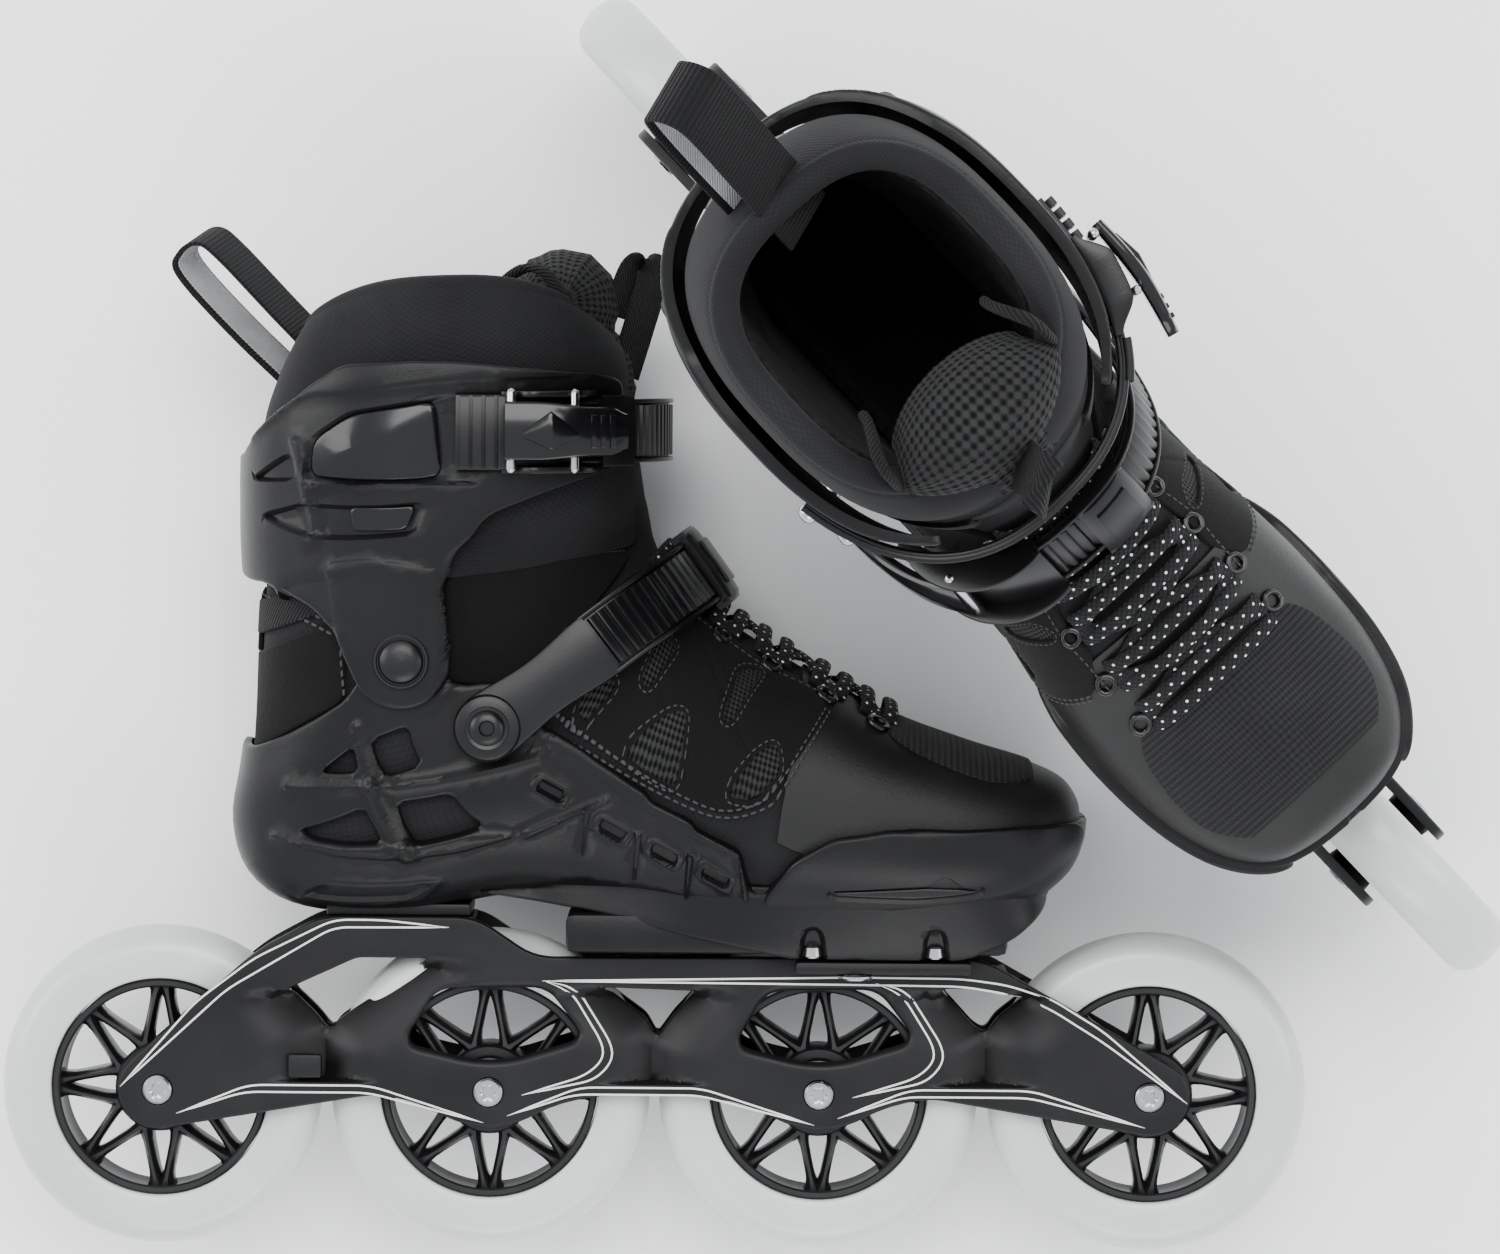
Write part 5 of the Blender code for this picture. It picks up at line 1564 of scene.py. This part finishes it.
def patch(t_rows, angles, low, high):
    """A plate on the skin between two values of t and of the angle, as rows across the foot."""
    t, angle = np.meshgrid(t_rows, angles, indexing="ij")
    face, back = skin(t, angle, high).reshape(-1, 3), skin(t, angle, low).reshape(-1, 3)
    quads = grid_faces(len(t_rows), len(angles))
    triangles = np.concatenate([quads[:, [0, 1, 2]], quads[:, [0, 2, 3]]])
    points, faces = thicken(back, face, triangles)
    flat = pattern(t, angle).reshape(-1, 2)
    flat = np.concatenate([flat, flat]) * MM
    return points, [part[:, ::-1] for part in faces], [flat[part[:, ::-1]] for part in faces]


points, faces, uv = patch(np.linspace(4, 12.5, 50), np.radians(np.linspace(-75, 75, 30)), -13.5, -10.6)
add_piece("insole", points, faces, lining, "skate", "boot_textile", uv)
print("tongue, heel loop, tab and insole")

# %% [markdown]
# ## Stitching
# A seam is a row of short thread rods, each lying on the cloth and dipping into it at both ends. All the
# rods of a seam are one array: a few rings for each stitch, moved to where the stitch is.


# %% Stitches
STITCH_SIDES = 6


def stitches(line, out, pitch=3.0, long=2.1, radius=0.34):
    """Rods on the skin along a line on the flat pattern; ring k of each has its place and radius from a
    short table."""
    spots = evenly(line, pitch)
    centre, way = (spots[1:] + spots[:-1]) / 2, np.diff(spots, axis=0)
    way /= np.maximum(np.linalg.norm(way, axis=1, keepdims=True), 1e-9)
    normal = np.stack([-way[:, 1], way[:, 0]], axis=-1)
    along, size = np.array([-1, -0.7, 0.7, 1]) * long / 2, np.array([0.15, 1, 1, 0.15]) * radius
    turn = np.linspace(0, 2 * math.pi, STITCH_SIDES, endpoint=False)
    flat = (centre[:, None, None] + way[:, None, None] * along[None, :, None, None]
            - normal[:, None, None] * (size[None, :, None, None] * np.cos(turn)[None, None, :, None]))
    height = out + size[None, :, None] * np.sin(turn)[None, None] + 0 * flat[..., 0]
    points = from_pattern(flat.reshape(-1, 2), height.reshape(-1))
    rods = grid_faces(4, STITCH_SIDES, wrap_columns=True)
    ends = np.array([np.arange(STITCH_SIDES)[::-1], np.arange(STITCH_SIDES) + 3 * STITCH_SIDES])
    before = np.arange(len(centre))[:, None, None] * 4 * STITCH_SIDES
    return points, [(rods[None] + before).reshape(-1, 4), (ends[None] + before).reshape(-1, STITCH_SIDES)]


def seam(line, side, out, gaps=(0.0,), **shape):
    """One row, or rows gap mm apart, along a line that is seen from the side."""
    flat = side_pattern(smooth_line(line, 5), side)
    run = np.gradient(flat, axis=0)
    across = np.stack([-run[:, 1], run[:, 0]], axis=-1) / np.linalg.norm(run, axis=1, keepdims=True)
    return [stitches(flat + across * gap, out, **shape) for gap in gaps]


skate_seams, cuff_seams = [], []
for side in (-1, 1):
    skate_seams += seam([(-33, 187), (-11.5, 171.2), (11.2, 158.4), (25.2, 154.4), (38.7, 160),
                         (49.8, 176.5), (57, 188)], side, 1.25, (0.4 * side, 2.2 * side))
    for window in QUARTER_WINDOWS:
        ring = shifted(side_pattern(round_corners(window, 3), side), -1.4 * side)
        skate_seams.append(stitches(np.concatenate([ring, ring[:1]]), 1.25, 2.6, 1.7, 0.28))
    skate_seams += seam([(60, 190), (48, 196), (36, 201.5), (22, 211), (10, 220.5), (2, 231)], side, 1.25)
    skate_seams += seam([(-104.5, 191), (-105.5, 203), (-105.8, 215)], side, 1.1)
    skate_seams += seam([(-133.2, 224.6), (-119, 220.5), (-106.5, 214.8)], side, 1.1, (0.0, 2.0 * side))
    skate_seams += seam([(-71, 232), (-50, 236), (-30, 239.5), (-11, 240.5)], side, 0.8)
    skate_seams += seam([(66, 178), (76, 174), (90, 167.8), (112.6, 160.6), (130, 160.8)], side, -0.2,
                        (0.0, 1.8 * side))
    cuff_seams += seam([(-122, 312), (-96, 316.5), (-66, 317), (-34, 316.5), (-20, 317)], side, 0.35,
                       pitch=3.4)
points, faces = joined(skate_seams)
add_piece("upper_stitching", points, faces, thread, slot="boot_textile", angle=80, blend=BLEND)
points, faces = joined(cuff_seams)
add_piece("shaft_stitching", points, faces, thread, "cuff_body", "collar_textile", angle=80)
print("stitches:", (made_pieces["upper_stitching"] + made_pieces["shaft_stitching"]) // (4 * STITCH_SIDES))

# %% [markdown]
# ## The instep strap
# A toothed strap turns on a screw at the outer side of the shell, crosses the instep and runs into a
# ratchet buckle on the inner side. It is a smooth arm at first, then a channel of teeth between two
# rails, then a square keeper. The buckle is a base with two cheeks, a lever on a steel pin, and two ball
# rivets.

# %% Instep strap
INSTEP_HEIGHT, STRAP_OUT, STRAP_HALF = 229.0, 7.6, 11.6
instep_front = (front_point(INSTEP_HEIGHT), INSTEP_HEIGHT)
slope = np.array([instep_front[0] - STRAP_ANCHOR[0], 0, instep_front[1] - STRAP_ANCHOR[1]])
slope /= np.linalg.norm(slope)
INSTEP_ACROSS = (-slope[2], 0, slope[0])
outer_line, inner_line = (strap_line(STRAP_ANCHOR, instep_front, side, STRAP_OUT) for side in (-1, 1))
instep_line = evenly(np.concatenate([outer_line, inner_line[14:-1][::-1]]), 1.0)
instep_length = length_of(instep_line)


def over_instep(rows, profiles):
    """A bar along rows of points, level with the strap."""
    return sweep(rows, INSTEP_ACROSS, profiles, INSIDE)


def on_instep(start, end, profiles):
    """A bar between two lengths along the strap."""
    return over_instep(cut(instep_line, start, end), profiles)


def rails(start, end, half, low, high, wide=1.5):
    """The two raised edges of a toothed channel."""
    return [on_instep(start, end, box_section(wide / 2, low, high, 0.5, middle=way * (half - wide / 2)))
            for way in (-1, 1)]


arm_rows = cut(instep_line, 0, 47, 1.5)
arm_share = np.linspace(0, 1, len(arm_rows))
arm_half = STRAP_HALF * (0.93 + 0.07 * np.cos(arm_share * 2 * math.pi))
arm = over_instep(arm_rows, box_section(arm_half, 0, 3.4, 1.2, 0.7))
base = on_instep(40, instep_length, box_section(STRAP_HALF, 0, 1.6, 0.5))
toothed = teeth(instep_line, INSTEP_ACROSS, 48, instep_length - 42, 3.4, STRAP_HALF - 2.4, 1.6, 2.9)
points, faces, _ = together([arm, base, toothed] + rails(46, instep_length - 4, STRAP_HALF, 1.2, 3.4))
add_piece("instep_strap", points, faces, strap_plastic, "instep_strap", "strap_plastic",
          replaces=["instep_ladder"])
front_at = length_of(outer_line)
keeper_rows = cut(instep_line, front_at - 20, front_at - 1)
key = np.linspace(-1, 1, len(keeper_rows))
keeper_high = 6.6 - 1.6 * np.abs(key) ** 4
keeper = [over_instep(keeper_rows, box_section(13.6, 2.6, keeper_high, 1.4, 0.5))]
for way in (-1, 1):
    keeper.append(over_instep(keeper_rows, box_section(1.3, -0.2, 5.4, 0.7, middle=way * 13.4)))
keeper.append(on_instep(front_at - 16, front_at - 5, box_section(8.6, 6.2, 7.7, 0.7)))
points, faces, _ = together(keeper)
add_piece("instep_keeper", points, faces, strap_plastic, "instep_strap", "strap_plastic")


def boss(centre, side, profile, sides=48):
    """A turned profile of (radius, height) standing on the skin at centre, its axis across the skate."""
    t, angle = find(*centre)
    start = abs(float(skin(t, side * angle)[1]))
    pairs = [(0.02 if radius == 0 else radius, start + height) for radius, height in profile]
    if side < 0:
        pairs = [(radius, -y) for radius, y in pairs[::-1]]
    points, faces = turned(pairs, sides, (centre[0], 0, centre[1]), closed=False)
    return points, faces[:, ::-1]


anchor_profile = [(0, 13.0), (8.8, 13.0), (10.6, 12.4), (11.4, 11.0), (11.4, 7.0), (0, 7.0)]
points, faces = boss(STRAP_ANCHOR, -1, anchor_profile)
add_piece("strap_anchor", points, faces, strap_plastic, "instep_strap", "strap_plastic")
screw_profile = [(0, 13.2), (2.2, 13.2), (2.7, 14.6), (4.6, 14.4), (5.6, 13.7), (6.0, 13.1),
                 (7.2, 13.4), (7.6, 12.6), (7.6, 12.0), (4, 12.0), (4, 1.0), (0, 1.0)]
points, faces = boss(STRAP_ANCHOR, -1, screw_profile)
add_piece("strap_screw", points, faces, strap_plastic, "skate", "polished_steel")
print("instep strap", round(instep_length), "mm long")

# %% Instep buckle and lever
BUCKLE_FROM, BUCKLE_TO = instep_length - 52, instep_length - 6
CHEEK_AT = 12.6
buckle_rows = cut(instep_line, BUCKLE_FROM, BUCKLE_TO, 1.2)
along_buckle = np.linspace(0, 1, len(buckle_rows))
cheek = 6.4 + 4.6 * np.sin(np.clip(along_buckle * 1.15, 0, 1) * math.pi) ** 0.8
parts = [over_instep(buckle_rows, box_section(12.4, 3.4, 4.6, 0.5))]
for way in (-1, 1):
    parts.append(over_instep(buckle_rows, box_section(1.1, 0.2, cheek, 0.6, middle=way * CHEEK_AT)))
points, faces, _ = together(parts)
add_piece("instep_buckle", points, faces, strap_plastic, "instep_strap", "strap_plastic",
          replaces=["instep_buckle"])
lever_rows = evenly(strap_line(STRAP_ANCHOR, instep_front, 1, 15.0, reach=0.62)[6:], 1.2)
along_lever = np.linspace(0, 1, len(lever_rows))
lever_half = 8.2 + 1.6 * smooth_step((along_lever - 0.1) / 0.5)
lever_half = lever_half - 2.2 * smooth_step((0.12 - along_lever) / 0.12)
lever_top = 2.4 + 1.9 * np.sin(along_lever * math.pi) ** 0.7
parts = [over_instep(lever_rows, box_section(lever_half, 0.2, lever_top, 1.2, 0.5))]
for k in range(4):
    start = 4.0 + 3.2 * k
    parts.append(over_instep(cut(lever_rows, start, start + 1.4, 0.7), box_section(5.4, 2.2, 4.4, 0.5)))
points, faces, _ = together(parts)
add_piece("instep_lever", points, faces, gloss_plastic, "instep_lever_body", "strap_plastic",
          replaces=["instep_lever"])


PIN_RADIUS = 1.7


def rod(start, end, radius, sides=20):
    """A round pin between two points with rounded ends."""
    start, end = np.asarray(start, float), np.asarray(end, float)
    share = np.array([0, 0.02, 0.06, 0.94, 0.98, 1.0])
    size = np.array([0.35, 0.8, 1, 1, 0.8, 0.35]) * radius
    path = start + (end - start) * share[:, None]
    across = (0, 1, 0) if abs(end[1] - start[1]) < 0.8 * np.linalg.norm(end - start) else (1, 0, 0)
    angle = np.linspace(0, 2 * math.pi, sides, endpoint=False)
    ring = np.stack([np.cos(angle), np.sin(angle)], axis=-1)
    points, faces, _ = sweep(path, across, ring[None] * size[:, None, None])
    return points, faces


hinge, half_pin = lever_rows[-1], np.array(INSTEP_ACROSS) * 13.9
points, faces = rod(hinge - half_pin, hinge + half_pin, PIN_RADIUS)
add_piece("instep_lever_pin", points, faces, steel, "instep_strap", "polished_steel")
BALL = [(0, 2.4), (1.4, 2.2), (2.5, 1.5), (3.1, 0.4), (3.1, -1.0), (0, -1.0)]
rivets = []
for share in (0.14, 0.42):
    x, z = (STRAP_ANCHOR[k] + (instep_front[k] - STRAP_ANCHOR[k]) * share for k in (0, 1))
    rivets.append(boss((x, z), 1, [(radius, height + 12.2) for radius, height in BALL], 28))
points, faces = joined(rivets)
add_piece("instep_rivets", points, faces, steel, "instep_strap", "polished_steel")
print("instep buckle", round(BUCKLE_TO - BUCKLE_FROM), "mm long")

# %% [markdown]
# ## The cuff buckle
# The upper buckle closes the cuff over the shin. A toothed ladder comes round from the inner side into a
# housing on the outer side. Its lever lies on top with a raised peak pressed into it, a ribbed block
# stands behind it, and steel pins show above and below.

# %% Cuff ladder, housing and lever
CUFF_Z, BAND_OUT = 281.0, 8.6
LEVEL = (0.0, 0.0, 1.0)
shin = (front_point(CUFF_Z), CUFF_Z)
band_outer = strap_line((-60, CUFF_Z), shin, -1, BAND_OUT)
band_inner = strap_line((-50, CUFF_Z), shin, 1, BAND_OUT)
band_line = evenly(np.concatenate([band_outer, band_inner[:-1][::-1]]), 1.0)
band_length = length_of(band_line)


def level_bar(rows, profiles):
    """A bar along rows of points, level with the ground."""
    return sweep(rows, LEVEL, profiles, INSIDE)


def on_band(start, end, profiles):
    """A bar between two lengths along the band."""
    return level_bar(cut(band_line, start, end, 1.2), profiles)


parts = [on_band(34, band_length, box_section(10.6, 0, 1.5, 0.5))]
parts += [on_band(34, band_length, box_section(0.75, 1.0, 3.1, 0.5, middle=way * 9.9)) for way in (-1, 1)]
parts.append(teeth(band_line, LEVEL, 36, band_length - 30, 3.2, 8.6, 1.5, 2.8))
parts.append(on_band(band_length - 30, band_length, box_section(10.4, 0.4, 3.2, 0.8, 0.4)))
points, faces, _ = together(parts)
add_piece("cuff_ladder", points, faces, strap_plastic, "cuff_body", "strap_plastic", replaces=["cuff_ladder"])
back_line = strap_line((-67, CUFF_Z), shin, -1, 8.0)
parts = [level_bar(cut(back_line, 0, 44, 1.2), box_section(CHEEK_AT, 0, 2.2, 0.7))]
for k in range(4):
    rows = cut(back_line, 1.5 + 4.1 * k, 4.3 + 4.1 * k, 0.7)
    parts.append(level_bar(rows, box_section(12.2, 1.6, 4.9, 0.7)))
rows = cut(back_line, 15, 47, 1.2)
at = np.linspace(0, 1, len(rows))
tall = 3.4 + 6.2 * smooth_step(at * 3.2) * smooth_step((1 - at) * 3.2)
for way in (-1, 1):
    parts.append(level_bar(rows, box_section(1.2, 0.4, tall, 0.6, middle=way * CHEEK_AT)))
parts.append(level_bar(cut(back_line, 48, 60), box_section(12.0, 2.6, 5.4, 0.9)))
points, faces, _ = together(parts)
add_piece("cuff_buckle", points, faces, strap_plastic, "cuff_body", "strap_plastic",
          replaces=["cuff_buckle"])
lever_line = evenly(smooth_line([(-50, -63.5, CUFF_Z), (-30, -62, CUFF_Z), (-10, -57.5, CUFF_Z)], 8), 1.2)
at = np.linspace(0, 1, len(lever_line))
lever_half = 9.8 - 1.6 * smooth_step((at - 0.25) / 0.5) - 2.2 * smooth_step((at - 0.85) / 0.15)
parts = [level_bar(lever_line, box_section(lever_half, 0.3, 3.6 + 0.9 * np.sin(at * math.pi), 1.3, 0.5))]
peak = cut(lever_line, 6, 24, 0.9)
rise = 1 - np.abs(np.linspace(-1, 1, len(peak)))
parts.append(level_bar(peak, box_section(1.0 + 5.4 * rise, 3.6, 4.9 + 1.1 * rise, 0.8,
                                         middle=-1.2 + 1.4 * rise)))
for k in range(3):
    rows = cut(lever_line, 28 + 3.2 * k, 29.6 + 3.2 * k, 0.8)
    parts.append(level_bar(rows, box_section(5.6, 3.4, 5.0, 0.5)))
points, faces, _ = together(parts)
add_piece("cuff_lever", points, faces, gloss_plastic, "cuff_lever_body", "strap_plastic",
          replaces=["cuff_lever"])
hinge = lever_line[0] + (2.0, 0, 0)
points, faces = joined([rod(hinge + (0, 1.2, -14.2), hinge + (0, 1.2, 14.2), PIN_RADIUS),
                        rod(hinge + (21, 3.4, -14), hinge + (21, 3.4, 14), 1.5)])
add_piece("cuff_buckle_pins", points, faces, steel, "cuff_body", "polished_steel")
rivets = [boss((x, CUFF_Z), 1, [(radius, height + 12.0) for radius, height in BALL], 28) for x in (-46, -33)]
points, faces = joined(rivets)
add_piece("cuff_rivets", points, faces, steel, "cuff_body", "polished_steel")
print("cuff band", round(band_length), "mm round")

# %% [markdown]
# ## Laces and eyelets
# The lace crosses the tongue in doubled rows between eyelets and crosses over itself between the rows.
# It is a flat woven tube, black with white flecks. Every strand is an oval carried along a smooth line
# through a few points on the skin, so it presses down at the eyelets and arches over the tongue.

# %% Lace rows
LACE_ROWS = (5.2, 5.95, 6.75, 7.55, 8.35, 9.1)
EYELET_ANGLE, LACE_HALF, LACE_THICK = 27.0, 2.6, 1.1
LACE_STEPS = 5
EYELET_RING = np.array([(4.4, 0.2), (4.3, 1.3), (3.4, 1.7), (2.5, 1.3), (2.4, 0.2)])


def flecked_lace():
    """A woven black lace whose rarer threads are white: two sines of the UVs that peak together."""
    material = cloth("flecked_lace", (0.009, 0.009, 0.0095), "plain", 1.1, 0.25, 0.8, 0.35)
    nodes, links = material.node_tree.nodes, material.node_tree.links
    shader = nodes["Principled BSDF"]
    spots = weave_height(nodes, links, "plain", 2.6)
    pick = nodes.new("ShaderNodeMapRange")
    set_inputs(pick, {"From Min": 0.80, "From Max": 0.88})
    links.new(spots, pick.inputs["Value"])
    mix = nodes.new("ShaderNodeMix")
    mix.data_type = "RGBA"
    links.new(pick.outputs["Result"], mix.inputs["Factor"])
    links.new(shader.inputs["Base Color"].links[0].from_socket, mix.inputs[6])
    mix.inputs[7].default_value = (0.62, 0.62, 0.62, 1)
    links.new(mix.outputs[2], shader.inputs["Base Color"])
    return material


def strand(start, end, lift, slack=0.0):
    """A lace from one (t, angle from the front in degrees) to another, lift mm over the skin at its
    middle."""
    share = np.linspace(0, 1, 9)
    t = start[0] + (end[0] - start[0]) * share + slack * np.sin(share * math.pi)
    angle = math.pi + np.radians(start[1] + (end[1] - start[1]) * share)
    line = smooth_line(skin(t, angle, 0.9 + lift * np.sin(share * math.pi) ** 0.55), LACE_STEPS)
    t, angle = (np.repeat(value, LACE_STEPS)[:len(line)] for value in (t, angle))
    across = np.cross(skin(t, angle, 1.0) - skin(t, angle, 0.0), np.gradient(line, axis=0))
    return sweep(line, across, oval_section(LACE_HALF, LACE_THICK, 12), INSIDE)


lace_material = flecked_lace()
strands, rings = [], []
turn = np.linspace(0, 2 * math.pi, 33)[:-1]
for k, t in enumerate(LACE_ROWS):
    for gap in (-0.17, 0.17):
        strands.append(strand((t + gap, -EYELET_ANGLE), (t + gap, EYELET_ANGLE), 3.6, 0.04 * (-1) ** k))
    if k:
        before = LACE_ROWS[k - 1]
        strands.append(strand((before, -EYELET_ANGLE), (t, EYELET_ANGLE), 1.2))
        strands.append(strand((before, EYELET_ANGLE), (t, -EYELET_ANGLE), 2.0))
    for way in (-1, 1):
        flat = pattern(np.array([t]), np.array([math.pi + math.radians(way * (EYELET_ANGLE + 5))]))[0]
        spot = flat + EYELET_RING[:, None, :1] * np.stack([np.cos(turn), np.sin(turn)], axis=-1)[None]
        made = from_pattern(spot.reshape(-1, 2), np.repeat(EYELET_RING[:, 1], len(turn)) + 0.6)
        faces = grid_faces(len(EYELET_RING), len(turn), wrap_rows=True, wrap_columns=True)
        rings.append((made, faces[:, ::-1]))
points, faces, uv = together(strands)
add_piece("laces", points, faces, lace_material, "skate", "lace", uv, replaces=["laces"], angle=60)
points, faces = joined(rings)
add_piece("eyelets", points, faces, gloss_plastic, "skate", "strap_plastic", angle=60)
print(len(strands), "strands and", len(rings), "eyelets")

# %% Count the pieces
print(len(made_pieces), "kinds of piece,", sum(made_pieces.values()), "points on one skate")
